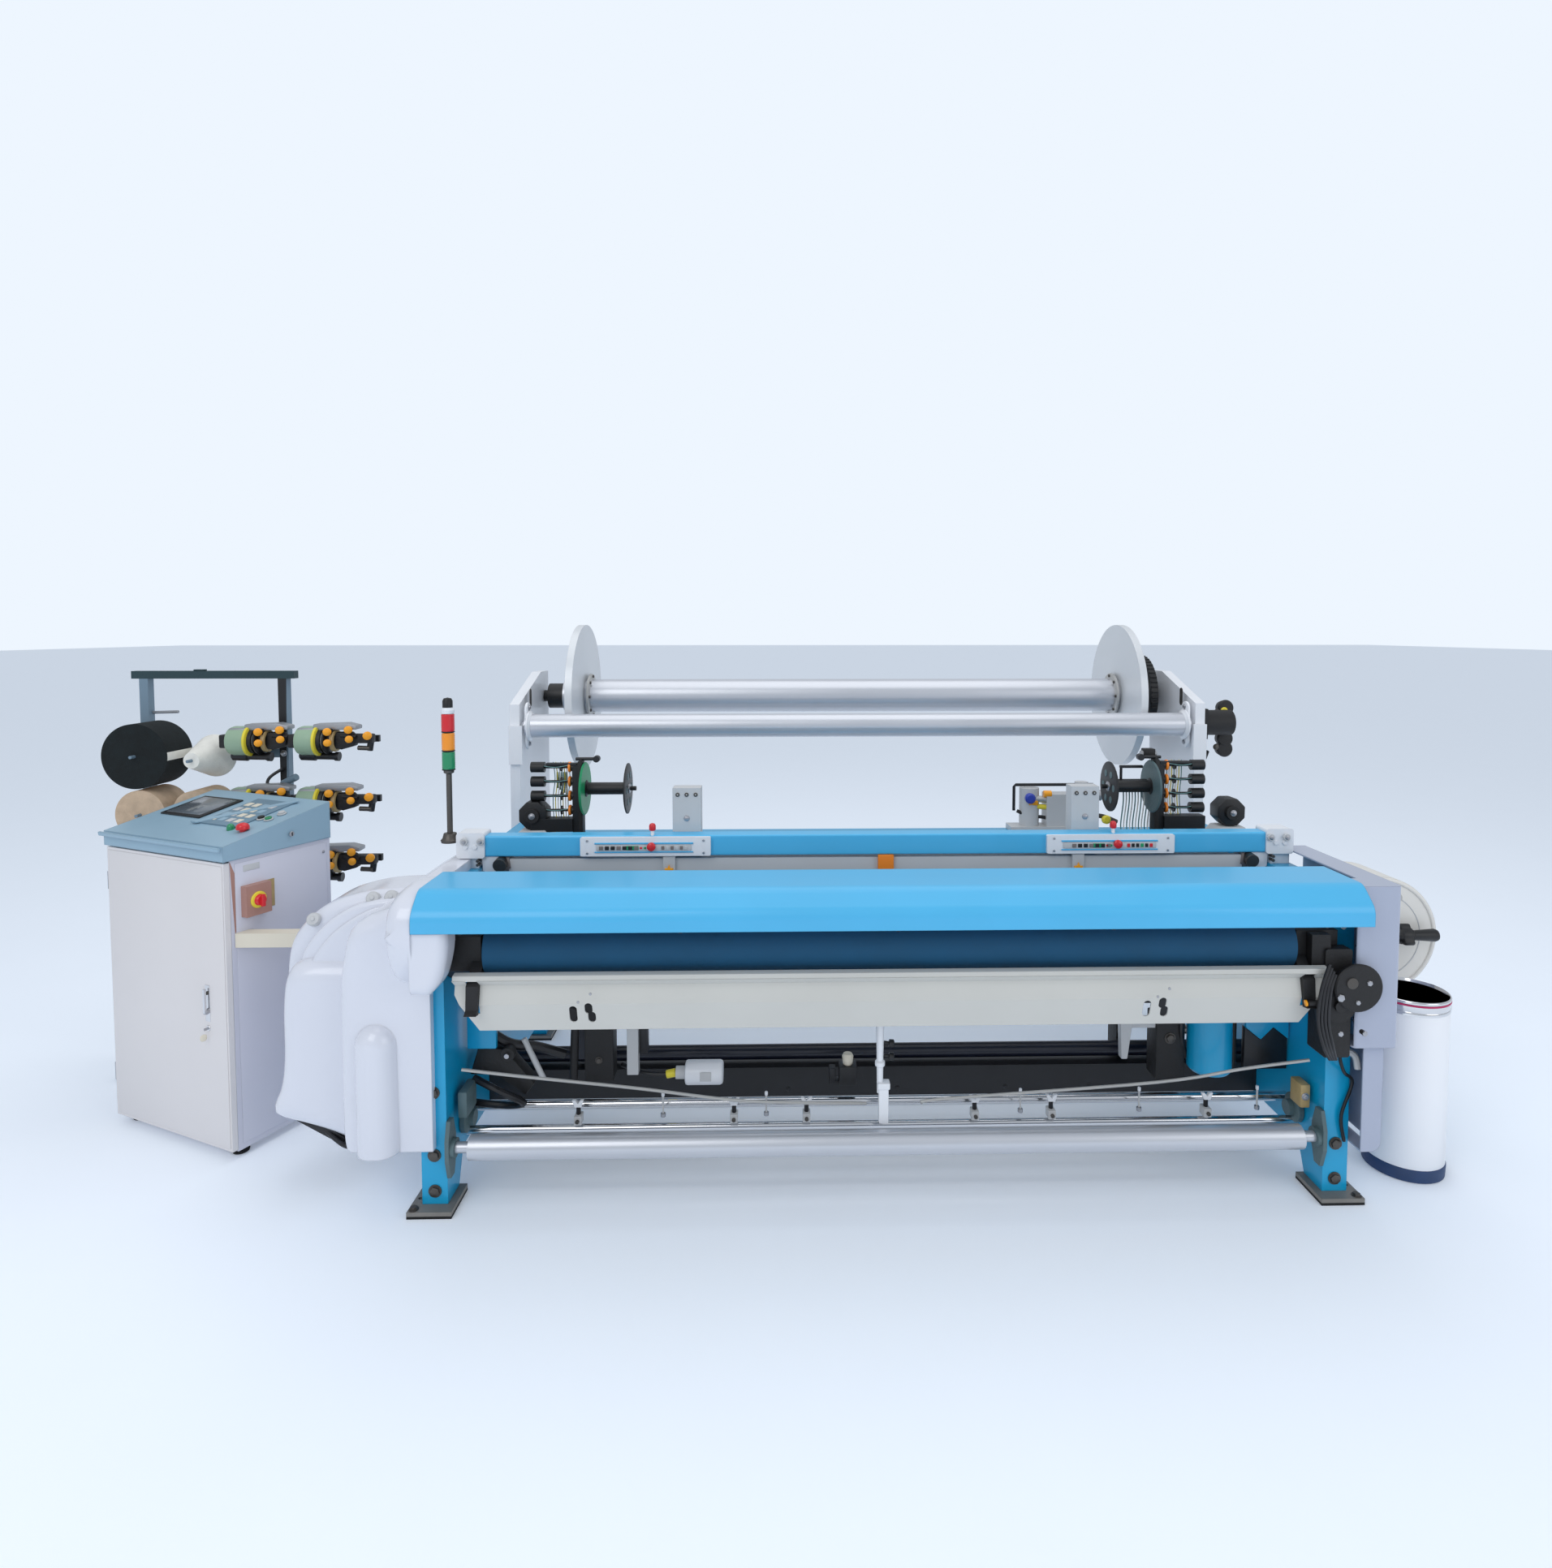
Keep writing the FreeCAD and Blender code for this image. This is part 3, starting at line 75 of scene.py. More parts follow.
def material(name, colour, rough=0.4, metal=0.0, mottle=0.04, mottle_scale=3.0, grain=0.02,
        grain_scale=900.0, coat=0.0, soft=0.0015, brushed=None):
    """A finish whose colour, roughness and surface all vary a little over the piece."""
    made = bpy.data.materials.new(name)
    made.use_nodes = True
    nodes, links = made.node_tree.nodes, made.node_tree.links
    shader = nodes["Principled BSDF"]
    give(shader, Metallic=metal, Coat_Weight=coat, Coat_Roughness=COAT_ROUGHNESS)
    place = nodes.new("ShaderNodeTexCoord")
    stretch = nodes.new("ShaderNodeMapping")
    give(stretch, Scale=brushed or (1, 1, 1))
    links.new(place.outputs["Object"], stretch.inputs["Vector"])
    broad = nodes.new("ShaderNodeTexNoise")
    give(broad, Scale=mottle_scale, Detail=4)
    links.new(place.outputs["Object"], broad.inputs["Vector"])
    ramp = nodes.new("ShaderNodeValToRGB")
    for stop, position, factor in zip(ramp.color_ramp.elements, MOTTLE_BAND, (1 - mottle, 1 + mottle)):
        stop.position = position
        stop.color = [min(1, c * factor) for c in srgb(*colour)[:3]] + [1]
    links.new(broad.outputs["Fac"], ramp.inputs["Fac"])
    links.new(ramp.outputs["Color"], shader.inputs["Base Color"])
    shine = nodes.new("ShaderNodeMapRange")
    give(shine, To_Min=max(0.02, rough - SMOOTHER), To_Max=min(1.0, rough + ROUGHER))
    links.new(broad.outputs["Fac"], shine.inputs["Value"])
    links.new(shine.outputs["Result"], shader.inputs["Roughness"])
    fine = nodes.new("ShaderNodeTexNoise")
    give(fine, Scale=grain_scale, Detail=3)
    links.new(stretch.outputs["Vector"], fine.inputs["Vector"])
    relief = nodes.new("ShaderNodeBump")
    give(relief, Strength=grain, Distance=RELIEF_DEPTH)
    links.new(fine.outputs["Fac"], relief.inputs["Height"])
    if soft:
        edge = nodes.new("ShaderNodeBevel")
        edge.samples = 4
        give(edge, Radius=soft)
        links.new(edge.outputs["Normal"], relief.inputs["Normal"])
    links.new(relief.outputs["Normal"], shader.inputs["Normal"])
    return made


BLUE = material("loom_blue", (0, 160, 208), 0.32, coat=0.3, mottle=0.05, grain=0.05, grain_scale=260,
    soft=0.003)
SKY = material("cover_blue", (76, 182, 230), 0.34, coat=0.2, mottle=0.03, grain=0.03, grain_scale=320,
    soft=0.004)
APRON = material("apron_grey", (205, 204, 198), 0.42, mottle=0.025, grain=0.04, grain_scale=300)
PALE = material("pale_grey_paint", (196, 197, 198), 0.4, mottle=0.03, grain=0.05, grain_scale=300)
WHITE = material("white_paint", (232, 234, 238), 0.3, coat=0.2, mottle=0.02, grain=0.03, grain_scale=280)
MOULD = material("white_moulding", (222, 224, 233), 0.22, coat=0.5, mottle=0.02, mottle_scale=2, grain=0.02,
    grain_scale=180, soft=0.006)
LAVENDER = material("lavender_grey", (172, 179, 198), 0.34, coat=0.3, mottle=0.03, grain=0.04,
    grain_scale=300, soft=0.004)
BLACK = material("black_paint", (22, 22, 26), 0.38, mottle=0.25, grain=0.12, grain_scale=160)
BLACK_BLUE = material("oily_black", (20, 24, 40), 0.3, mottle=0.3, grain=0.1, grain_scale=120, coat=0.2)
CAST = material("black_casting", (24, 23, 24), 0.55, mottle=0.25, grain=0.5, grain_scale=90)
PLASTIC = material("black_plastic", (20, 20, 22), 0.42, mottle=0.15, grain=0.15, grain_scale=500)
RUBBER = material("foot_rubber", (18, 18, 19), 0.8, mottle=0.2, grain=0.3, grain_scale=300)
PLATE = material("foot_plate_steel", (134, 130, 124), 0.5, metal=0.3, mottle=0.1, mottle_scale=14,
    grain=0.2, grain_scale=220)
STEEL = material("ground_steel", (176, 176, 180), 0.3, metal=0.95, mottle=0.05, grain=0.15, grain_scale=120,
    brushed=(40, 1, 1))
DARK_STEEL = material("dark_steel", (92, 88, 84), 0.4, metal=0.8, mottle=0.15, grain=0.2, grain_scale=160)
ROLLER = material("turned_roller", (206, 208, 214), 0.3, metal=0.55, mottle=0.02, grain=0.06,
    grain_scale=60, brushed=(40, 1, 1))
CHROME = material("chrome", (222, 222, 224), 0.1, metal=1.0, mottle=0.02, grain=0.02, grain_scale=60,
    brushed=(30, 1, 1), soft=0)
ALLOY = material("anodised_alloy", (188, 187, 184), 0.36, metal=0.6, mottle=0.03, grain=0.1, grain_scale=80,
    brushed=(1, 30, 1))
FLANGE = material("flange_white", (216, 219, 222), 0.35, metal=0.25, mottle=0.02, grain=0.05, grain_scale=200)
EMERY = material("emery_sleeve", (10, 84, 122), 0.62, mottle=0.06, mottle_scale=6, grain=0.8,
    grain_scale=1400, soft=0)
GREEN_CAST = material("bearing_grey_green", (86, 108, 112), 0.5, mottle=0.12, grain=0.4, grain_scale=110)
ORANGE = material("orange_plastic", (250, 166, 28), 0.35, mottle=0.03, grain=0.03)
DEEP_ORANGE = material("orange_disc", (248, 140, 40), 0.4, mottle=0.04, grain=0.03)
YELLOW = material("yellow_plastic", (232, 214, 60), 0.4, mottle=0.04, grain=0.03)
RED = material("red_plastic", (214, 28, 38), 0.28, mottle=0.05, grain=0.02, coat=0.3)
AMBER = material("amber_lens", (250, 150, 20), 0.22, mottle=0.04, grain=0.02, coat=0.5)
GREEN_LENS = material("green_lens", (20, 140, 90), 0.22, mottle=0.05, grain=0.02, coat=0.5)
GREEN = material("green_disc", (24, 150, 96), 0.4, mottle=0.06, grain=0.04)
KNOB_BLUE = material("blue_plastic", (44, 66, 170), 0.35, mottle=0.06, grain=0.03)
CABINET = material("cabinet_paint", (224, 220, 220), 0.48, mottle=0.015, grain=0.25, grain_scale=700,
    soft=0.003)
# The cabinet paint made darker and bluer for the cabinet's side: painted shade on the side turned away from
# the light.
CABINET_SHADED_SIDE = material("cabinet_side_painted_shade", (208, 208, 220), 0.48, mottle=0.015, grain=0.25,
    grain_scale=700, soft=0.003)
DESK = material("desk_blue_grey", (146, 176, 194), 0.36, mottle=0.03, grain=0.1, grain_scale=400, soft=0.006)
# The desk's blue grey made darker for the keypad field: painted shade standing for a recess.
DESK_RECESS_SHADE = material("desk_recess_painted_shade", (110, 138, 156), 0.4, mottle=0.04, grain=0.1, grain_scale=400)
SCREEN = material("screen_grey", (96, 104, 112), 0.15, mottle=0.1, mottle_scale=12, grain=0.0, coat=0.6)
BEIGE = material("beige_plastic", (222, 214, 196), 0.45, mottle=0.03, grain=0.05)
YARN_BLACK = material("black_yarn", (16, 24, 26), 0.95, mottle=0.35, mottle_scale=40, grain=0.9,
    grain_scale=240, soft=0)
YARN_BEIGE = material("beige_yarn", (196, 172, 146), 0.95, mottle=0.12, mottle_scale=30, grain=0.9,
    grain_scale=240, soft=0)
YARN_CREAM = material("cream_yarn", (236, 234, 226), 0.95, mottle=0.05, mottle_scale=30, grain=0.9,
    grain_scale=240, soft=0)
CREEL = material("creel_blue_grey", (112, 134, 150), 0.45, mottle=0.08, grain=0.1, grain_scale=300)
CREEL_TOP = material("creel_dark_teal", (30, 58, 64), 0.5, mottle=0.15, grain=0.15, grain_scale=200)
FEEDER = material("feeder_pale_green", (150, 176, 150), 0.35, mottle=0.06, grain=0.05)
FEEDER_GREY = material("feeder_grey", (158, 160, 164), 0.35, metal=0.5, mottle=0.06, grain=0.1)
TAN = material("tan_ring", (176, 152, 104), 0.5, mottle=0.1, mottle_scale=30, grain=0.2)
CAN = material("can_white", (244, 245, 248), 0.34, mottle=0.01, grain=0.03)
CAN_BLUE = material("can_base_blue", (34, 62, 104), 0.5, mottle=0.15, mottle_scale=12, grain=0.1)
MAGENTA = material("magenta_ring", (196, 40, 98), 0.4, mottle=0.06, grain=0.03)
WARM_GREY = material("warm_grey_cover", (120, 112, 110), 0.5, mottle=0.06, grain=0.1)
RECESS = material("switch_recess_brown", (170, 128, 116), 0.45, mottle=0.08, grain=0.1)
IVORY = material("ivory_cover", (228, 225, 218), 0.4, mottle=0.02, grain=0.03, grain_scale=300, soft=0.004)
HARNESS = material("teal_yarn", (112, 150, 150), 0.8, mottle=0.25, mottle_scale=60, grain=0.3, soft=0)


# ---------------------------------------------------------------- painting the CAD nodes
def paint(node, base, *spots):
    """Gives a CAD node its finish. Each spot is (low corner, high corner, finish) in mm, by face centre."""
    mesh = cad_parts[node].data
    mesh.materials.clear()
    finishes = [base] + [spot[2] for spot in spots]
    for finish in finishes:
        mesh.materials.append(finish)
    for face in mesh.polygons:
        middle = face.center / MM
        face.material_index = 0
        for index, (low, high, _) in enumerate(spots, start=1):
            if all(low[k] <= middle[k] <= high[k] for k in range(3)):
                face.material_index = index
    mesh.set_sharp_from_angle(angle=radians(NODE_SMOOTH_ANGLE))
    mesh.polygons.foreach_set("use_smooth", [True] * len(mesh.polygons))


LEFT_FLANGE = ((-1224, -FAR, 0), (-1186, FAR, FAR), FLANGE)
RIGHT_FLANGE = ((1186, -FAR, 0), (1224, FAR, FAR), FLANGE)
PLAIN = {
    "side_frames": BLUE, "foot_plates": PLATE, "foot_rubbers": RUBBER, "guide_tubes": CHROME,
    "press_roller": STEEL, "cloth_roller": ROLLER, "breast_cover": SKY, "cover_ribs": BLACK, "apron": APRON,
    "left_covers": MOULD, "left_rapier_cover": MOULD, "right_front_cover": LAVENDER,
    "right_rapier_cover": IVORY, "gear_cases": CAST, "hand_crank": PLASTIC, "rapier_head_left": STEEL,
    "rapier_head_right": STEEL, "rapier_wheel_left": ALLOY, "rapier_wheel_right": ALLOY, "top_beam": SKY,
    "beam_brackets": WHITE, "control_panels": WHITE, "stop_button_left": RED, "stop_button_right": RED,
    "front_fittings": BLACK, "back_posts": WHITE, "rest_roller": ROLLER, "oil_unit": PALE,
    "selvedge_units": PLASTIC, "cabinet_door": CABINET, "door_handle": CHROME, "cabinet_desk": DESK,
    "emergency_stop": RED, "start_button": GREEN_LENS, "main_switch": RED, "feeder_bodies": FEEDER,
    **{f"heald_frame_{number}": ALLOY for number in range(1, 5)},
    **{f"feeder_disc_{number}": TAN for number in range(1, 7)},
}
for node, finish in PLAIN.items():
    paint(node, finish)
paint("cross_beams", BLUE, ((-FAR, -300, 100), (FAR, -100, 260), BLACK))
paint("takeup_roller", EMERY, ((-FAR, -FAR, -FAR), (-1169, FAR, FAR), DARK_STEEL),
    ((1169, -FAR, -FAR), (FAR, FAR, FAR), DARK_STEEL))
paint("roller_brackets", CAST, ((-FAR, -FAR, 90), (FAR, FAR, 280), GREEN_CAST))
paint("sley", BLACK_BLUE, ((-FAR, -FAR, 730), (FAR, FAR, FAR), ALLOY))
paint("harness_guides", PALE, ((-FAR, -FAR, 0), (FAR, FAR, 850), BLACK))
paint("pile_beam", ROLLER, LEFT_FLANGE, RIGHT_FLANGE, ((1280, -FAR, 0), (FAR, FAR, FAR), PLASTIC),
    ((-FAR, -FAR, 0), (-1286, FAR, FAR), PLASTIC))
paint("ground_beam", ROLLER, LEFT_FLANGE, RIGHT_FLANGE)
paint("selvedge_spool_left", PLASTIC, ((-1045, -FAR, 0), (-1024, FAR, FAR), GREEN))
paint("selvedge_spool_right", PLASTIC, ((1024, -FAR, 0), (1045, FAR, FAR), GREEN))
paint("stack_light", DARK_STEEL, ((-1445, -FAR, 1240), (-1380, FAR, 1303), GREEN_LENS),
    ((-1445, -FAR, 1303), (-1380, FAR, 1365), AMBER), ((-1445, -FAR, 1365), (-1380, FAR, 1427), RED),
    ((-1445, -FAR, 1427), (-1380, FAR, 1500), WHITE))
# The cabinet body takes the darker, bluer copy of the cabinet paint, which is painted shade on its side; the
# switch plate and the beige strip are their own colours.
paint("cabinet_body", CABINET_SHADED_SIDE, ((-2075, -330, 785), (-1990, -215, 892), RECESS),
    ((-2070, -FAR, 690), (-1860, -270, 740), BEIGE))
paint("creel_frame", CREEL, ((-FAR, 0, 1514), (FAR, FAR, 1560), CREEL_TOP),
    ((-2440, 390, 780), (-1800, 414, 1400), PLASTIC))
paint("yarn_packages", YARN_BEIGE, ((-2910, 0, 1110), (-2645, FAR, 1400), YARN_BLACK),
    ((-2650, 0, 1125), (-2400, FAR, 1400), YARN_CREAM))
paint("waste_can", CAN, ((0, -FAR, 524), (FAR, FAR, 580), CHROME), ((0, -FAR, -1), (FAR, FAR, 46), CAN_BLUE))


# ---------------------------------------------------------------- building pieces, sizes in mm
RIGHT, FRONT, UP, DOWN = (1, 0, 0), (0, -1, 0), (0, 0, 1), (0, 0, -1)
AXES = {"x": (1, 2, 0), "y": (0, 2, 1), "z": (0, 1, 2)}


def curve(points, steps=6):
    """Points on a smooth curve through the given ones, so many steps from each to the next."""
    points = [Vector((*p, 0)) if len(p) == 2 else Vector(p) for p in points]
    last = len(points) - 1
    found = []
    for n in range(last):
        a, b, c, d = (points[max(0, min(last, n + k))] for k in (-1, 0, 1, 2))
        for step in range(steps):
            t = step / steps
            found.append(0.5 * ((2 * b) + (c - a) * t + (2 * a - 5 * b + 4 * c - d) * t * t
                + (3 * b - a - 3 * c + d) * t ** 3))
    return found + [points[-1]]


def flat(points):
    """The first two coordinates of each point."""
    return [(p[0], p[1]) for p in points]


def arc(middle, reach, first, last, parts):
    """Points first to last - 1 of an ellipse that has the given number of parts to a half turn."""
    return [(middle[0] + reach[0] * cos(pi * k / parts), middle[1] + reach[1] * sin(pi * k / parts))
        for k in range(first, last)]


class Piece:
    """One shown piece: small solids gathered in one mesh, each with its own finish.

    The slot is stored but not used, and the body is the one that it rides.
    """

    def __init__(self, name, slot, body="loom"):
        self.name, self.slot, self.body = name, slot, body
        self.mesh, self.finishes = bmesh.new(), []

    def join(self, points, faces, made, bevel=0.0, turn=None):
        """Adds one closed solid, given by its corners and faces, with its sharp edges bevelled."""
        if made not in self.finishes:
            self.finishes.append(made)
        small = bmesh.new()
        spots = [small.verts.new(Vector(p)) for p in points]
        for face in faces:
            small.faces.new([spots[k] for k in face])
        bmesh.ops.recalc_face_normals(small, faces=small.faces)
        if bevel:
            sharp = [e for e in small.edges if len(e.link_faces) == 2 and e.calc_face_angle() > SHARP_CORNER]
            bmesh.ops.bevel(small, geom=sharp, offset=bevel, segments=2, profile=0.6, affect="EDGES",
                clamp_overlap=True)
        if turn:
            small.transform(turn)
        small.transform(Matrix.Scale(MM, 4))
        for face in small.faces:
            face.material_index = self.finishes.index(made)
            face.smooth = True
        scratch = bpy.data.meshes.new("scratch")
        small.to_mesh(scratch)
        self.mesh.from_mesh(scratch)
        bpy.data.meshes.remove(scratch)
        small.free()

    def box(self, low, high, made, bevel=2.0, turn=None):
        """A block between two corners."""
        corners = [(x, y, z) for x in (low[0], high[0]) for y in (low[1], high[1]) for z in (low[2], high[2])]
        self.join(corners, [(0, 1, 3, 2), (4, 6, 7, 5), (0, 4, 5, 1), (2, 3, 7, 6), (0, 2, 6, 4),
            (1, 5, 7, 3)], made, bevel, turn)

    def prism(self, outline, axis, low, high, made, bevel=1.5, turn=None):
        """A plate: the outline, seen along the axis, from one height to the other."""
        a, b, c = AXES[axis]
        points = []
        for height in (low, high):
            for u, v in outline:
                spot = [0, 0, 0]
                spot[a], spot[b], spot[c] = u, v, height
                points.append(spot)
        count = len(outline)
        faces = [tuple(range(count)), tuple(range(count, 2 * count))]
        faces += [(n, (n + 1) % count, count + (n + 1) % count, count + n) for n in range(count)]
        self.join(points, faces, made, bevel, turn)

    def pillow(self, outline, axis, low, high, made, radius=30, crown=0.0, rows=34, columns=34,
            open_sides=()):
        """A moulding: a smooth outline rising from low to a soft rounded rim and a slightly crowned face.

        The outline meets each level of its second coordinate once on the left and once on the right. A side
        named in open_sides butts against something else and keeps a square edge.
        """
        a, b, c = AXES[axis]
        outline = [Vector(p) for p in outline]
        edges = [(outline[n - 1], outline[n]) for n in range(len(outline))]
        bottom, top = min(p.y for p in outline), max(p.y for p in outline)
        left, right = min(p.x for p in outline), max(p.x for p in outline)
        limits = {"left": lambda p: p.x < left + 1, "right": lambda p: p.x > right - 1,
            "bottom": lambda p: p.y < bottom + 1, "top": lambda p: p.y > top - 1}
        rounded = [(p, q) for p, q in edges if not any(limits[s](p) and limits[s](q) for s in open_sides)]
        way = 1 if high > low else -1

        def depth(spot):
            near = radius
            for p, q in rounded:
                run = q - p
                share = max(0.0, min(1.0, (spot - p).dot(run) / max(run.length_squared, 1e-9)))
                near = min(near, (spot - p - run * share).length)
            return radius - sqrt(max(0.0, radius ** 2 - (radius - near) ** 2))

        grid = []
        for row in range(rows + 1):
            level = bottom + 0.01 + (top - bottom - 0.02) * (1 - cos(pi * row / rows)) / 2
            crossing = [p.x + (q.x - p.x) * (level - p.y) / (q.y - p.y)
                for p, q in edges if (p.y - level) * (q.y - level) <= 0 and p.y != q.y]
            line = []
            for column in range(columns + 1):
                share = (1 - cos(pi * column / columns)) / 2
                spot = Vector((min(crossing) + (max(crossing) - min(crossing)) * share, level))
                rise = crown * 16 * share * (1 - share) * (level - bottom) * (top - level) / (top
                    - bottom) ** 2
                line.append((spot.x, spot.y, high - way * depth(spot) + way * rise))
            grid.append(line)
        wide = columns + 1
        rim = [(0, n) for n in range(wide)] + [(n, columns) for n in range(1, rows + 1)]
        rim += [(rows, n) for n in range(columns - 1, -1, -1)] + [(n, 0) for n in range(rows - 1, 0, -1)]
        spots = [p for line in grid for p in line] + [(grid[r][k][0], grid[r][k][1], low) for r, k in rim]
        first, count = wide * (rows + 1), len(rim)
        faces = [(r * wide + k, r * wide + k + 1, (r + 1) * wide + k + 1, (r + 1) * wide + k)
            for r in range(rows) for k in range(columns)]
        faces += [(rim[n][0] * wide + rim[n][1], rim[(n + 1) % count][0] * wide + rim[(n + 1) % count][1],
            first + (n + 1) % count, first + n) for n in range(count)]
        faces.append(tuple(range(first, first + count)))
        points = []
        for u, v, height in spots:
            spot = [0, 0, 0]
            spot[a], spot[b], spot[c] = u, v, height
            points.append(spot)
        self.join(points, faces, made)

    def lathe(self, start, way, profile, made, sides=28, squash=1.0):
        """A turned solid: (distance along the way, radius) pairs from the start."""
        way = Vector(way).normalized()
        side = way.orthogonal().normalized()
        up = way.cross(side)
        points, faces, rings = [], [], []
        for along, radius in profile:
            middle = Vector(start) + way * along
            if radius <= 0.001:
                rings.append([len(points)])
                points.append(middle)
                continue
            rings.append(list(range(len(points), len(points) + sides)))
            for n in range(sides):
                angle = 2 * pi * n / sides
                points.append(middle + side * radius * cos(angle) + up * radius * squash * sin(angle))
        for one, two in zip(rings, rings[1:]):
            for n in range(sides):
                face = [one[n % len(one)], one[(n + 1) % len(one)], two[(n + 1) % len(two)],
                    two[n % len(two)]]
                face = [k for i, k in enumerate(face) if k not in face[:i]]
                if len(face) > 2:
                    faces.append(tuple(face))
        if len(rings[0]) > 1:
            faces.append(tuple(rings[0]))
        if len(rings[-1]) > 1:
            faces.append(tuple(rings[-1]))
        self.join(points, faces, made)

    def rod(self, start, end, radius, made, sides=20, edge=1.0):
        """A round bar with broken edges."""
        start, end = Vector(start), Vector(end)
        length = (end - start).length
        edge = min(edge, radius * 0.4, length * 0.3)
        profile = [(0, radius - edge), (edge, radius), (length - edge, radius), (length, radius - edge)]
        self.lathe(start, end - start, profile, made, sides)

    def tube(self, points, radius, made, sides=8, steps=6, smooth=True):
        """A bent wire, pipe or cable through the given points."""
        path = curve(points, steps) if smooth and len(points) > 2 else [Vector(p) for p in points]
        spots, faces = [], []
        side = (path[1] - path[0]).orthogonal().normalized()
        for n, spot in enumerate(path):
            way = (path[min(n + 1, len(path) - 1)] - path[max(n - 1, 0)]).normalized()
            side = (side - way * side.dot(way)).normalized()
            up = way.cross(side)
            for k in range(sides):
                angle = 2 * pi * k / sides
                spots.append(spot + (side * cos(angle) + up * sin(angle)) * radius)
        for n in range(len(path) - 1):
            for k in range(sides):
                m = (k + 1) % sides
                faces.append((n * sides + k, n * sides + m, (n + 1) * sides + m, (n + 1) * sides + k))
        faces += [tuple(range(sides)), tuple(range(len(spots) - sides, len(spots)))]
        self.join(spots, faces, made)

    def hexagon(self, start, way, radius, height, made, washer=True):
        """A hexagon screw head on its washer."""
        way = Vector(way).normalized()
        if washer:
            self.rod(start, Vector(start) + way * height * 0.25, radius * 1.3, made, sides=20, edge=0.5)
        self.lathe(start, way, [(0, radius), (height * 0.85, radius), (height, radius * 0.82)], made, sides=6)

    def done(self, node=None, angle=SMOOTH_ANGLE):
        """Makes the object, which rides its body and stands for the node, if one is given."""
        shown = bpy.data.meshes.new(self.name)
        self.mesh.to_mesh(shown)
        self.mesh.free()
        for made in self.finishes:
            shown.materials.append(made)
        shown.set_sharp_from_angle(angle=radians(angle))
        item = bpy.data.objects.new(self.name, shown)
        bpy.context.scene.collection.objects.link(item)
        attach(item, self.body)
        if node:
            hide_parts(node)


# ---------------------------------------------------------------- left covers
def left_mouldings():
    """The soft white mouldings over the left rapier drum, the side frame and the end of the breast beam."""
    drum = Piece("left_drum_moulding", "white_moulding")
    back = [(-1388, 640), (-1388, 904)] + flat(curve([(-1470, 912), (-1560, 908), (-1640, 894),
        (-1720, 866), (-1790, 812), (-1836, 738), (-1850, 640)], 6))
    drum.pillow(back, "y", -273, -452, MOULD, radius=36, crown=2, open_sides=("bottom", "right"))
    ridge = [(-1388, 640), (-1388, 890)] + flat(curve([(-1470, 896), (-1560, 888), (-1640, 862),
        (-1712, 812), (-1770, 740), (-1800, 640)], 6))
    drum.pillow(ridge, "y", -430, -486, MOULD, radius=14, crown=2, open_sides=("bottom", "right"))
    face = [(-1400, 640), (-1400, 874)] + flat(curve([(-1470, 878), (-1550, 870), (-1622, 836),
        (-1688, 784), (-1738, 716), (-1758, 640)], 6))
    drum.pillow(face, "y", -470, -504, MOULD, radius=12, crown=3, open_sides=("bottom", "right"))
    lower = [(-1400, 160), (-1400, 718)] + flat(curve([(-1620, 718), (-1758, 716), (-1812, 676),
        (-1830, 580), (-1832, 420), (-1844, 325), (-1866, 268), (-1850, 232), (-1783, 212), (-1700, 186),
        (-1640, 160)], 6))
    drum.pillow(lower, "y", -273, -534, MOULD, radius=58, crown=6, open_sides=("right",))
    # A black plate, with a black rod along its edge, under the lower moulding's bottom edge: painted shade of
    # the moulding's underside.
    drum.prism([(-1800, 218), (-1690, 188), (-1640, 150), (-1662, 140), (-1700, 160)], "y", -500, -330,
        BLACK, 3)
    drum.tube([(-1770, -460, 216), (-1700, -500, 176), (-1640, -512, 142), (-1612, -500, 160)], 7, BLACK)
    for x, z in ((-1752, 838), (-1571, 902), (-1515, 906)):
        drum.lathe((x, -440, z - 20), (0.1, -1, 0.45), [(-8, 20), (26, 20), (30, 17), (31, 7), (34, 6),
            (35, 0)], PALE)
    drum.done("left_rapier_cover")

    front = Piece("left_front_moulding", "white_moulding")
    body = [(-1336, 192), (-1336, 962), (-1400, 962)] + flat(curve([(-1440, 920), (-1480, 890),
        (-1530, 880), (-1572, 840), (-1592, 771), (-1603, 680), (-1606, 520), (-1606, 260), (-1600, 192)],
        5))
    front.pillow(body, "y", 100, -634, MOULD, radius=44, crown=5, open_sides=("bottom", "right"))
    rib = [(-1431, 194)] + arc((-1492, 512), (61, 64), 0, 17, 16) + [(-1553, 194)]
    front.pillow(rib, "y", -600, -680, MOULD, radius=54, crown=2, open_sides=("bottom",))
    front.done()

    end = Piece("breast_end_moulding", "white_moulding")
    profile = [(-530, 703), (-530, 975)] + flat(curve([(-560, 985), (-620, 988), (-690, 982), (-742, 962),
        (-770, 925), (-776, 880), (-773, 830), (-752, 770), (-716, 726), (-660, 703)], 5))
    end.pillow(profile, "x", -1332, -1413, MOULD, radius=50, open_sides=("left",))
    tail = [(-1340, 704), (-1340, 882), (-1240, 882)] + flat(curve([(-1240, 840), (-1246, 796),
        (-1262, 740), (-1290, 704)], 5))
    end.pillow(tail, "y", -690, -770, MOULD, radius=30, open_sides=("left", "top"))
    end.done("left_covers")


left_mouldings()


# ---------------------------------------------------------------- top beam and operator panels
PANEL_MIDDLE, PANEL_HALF = 765, 205


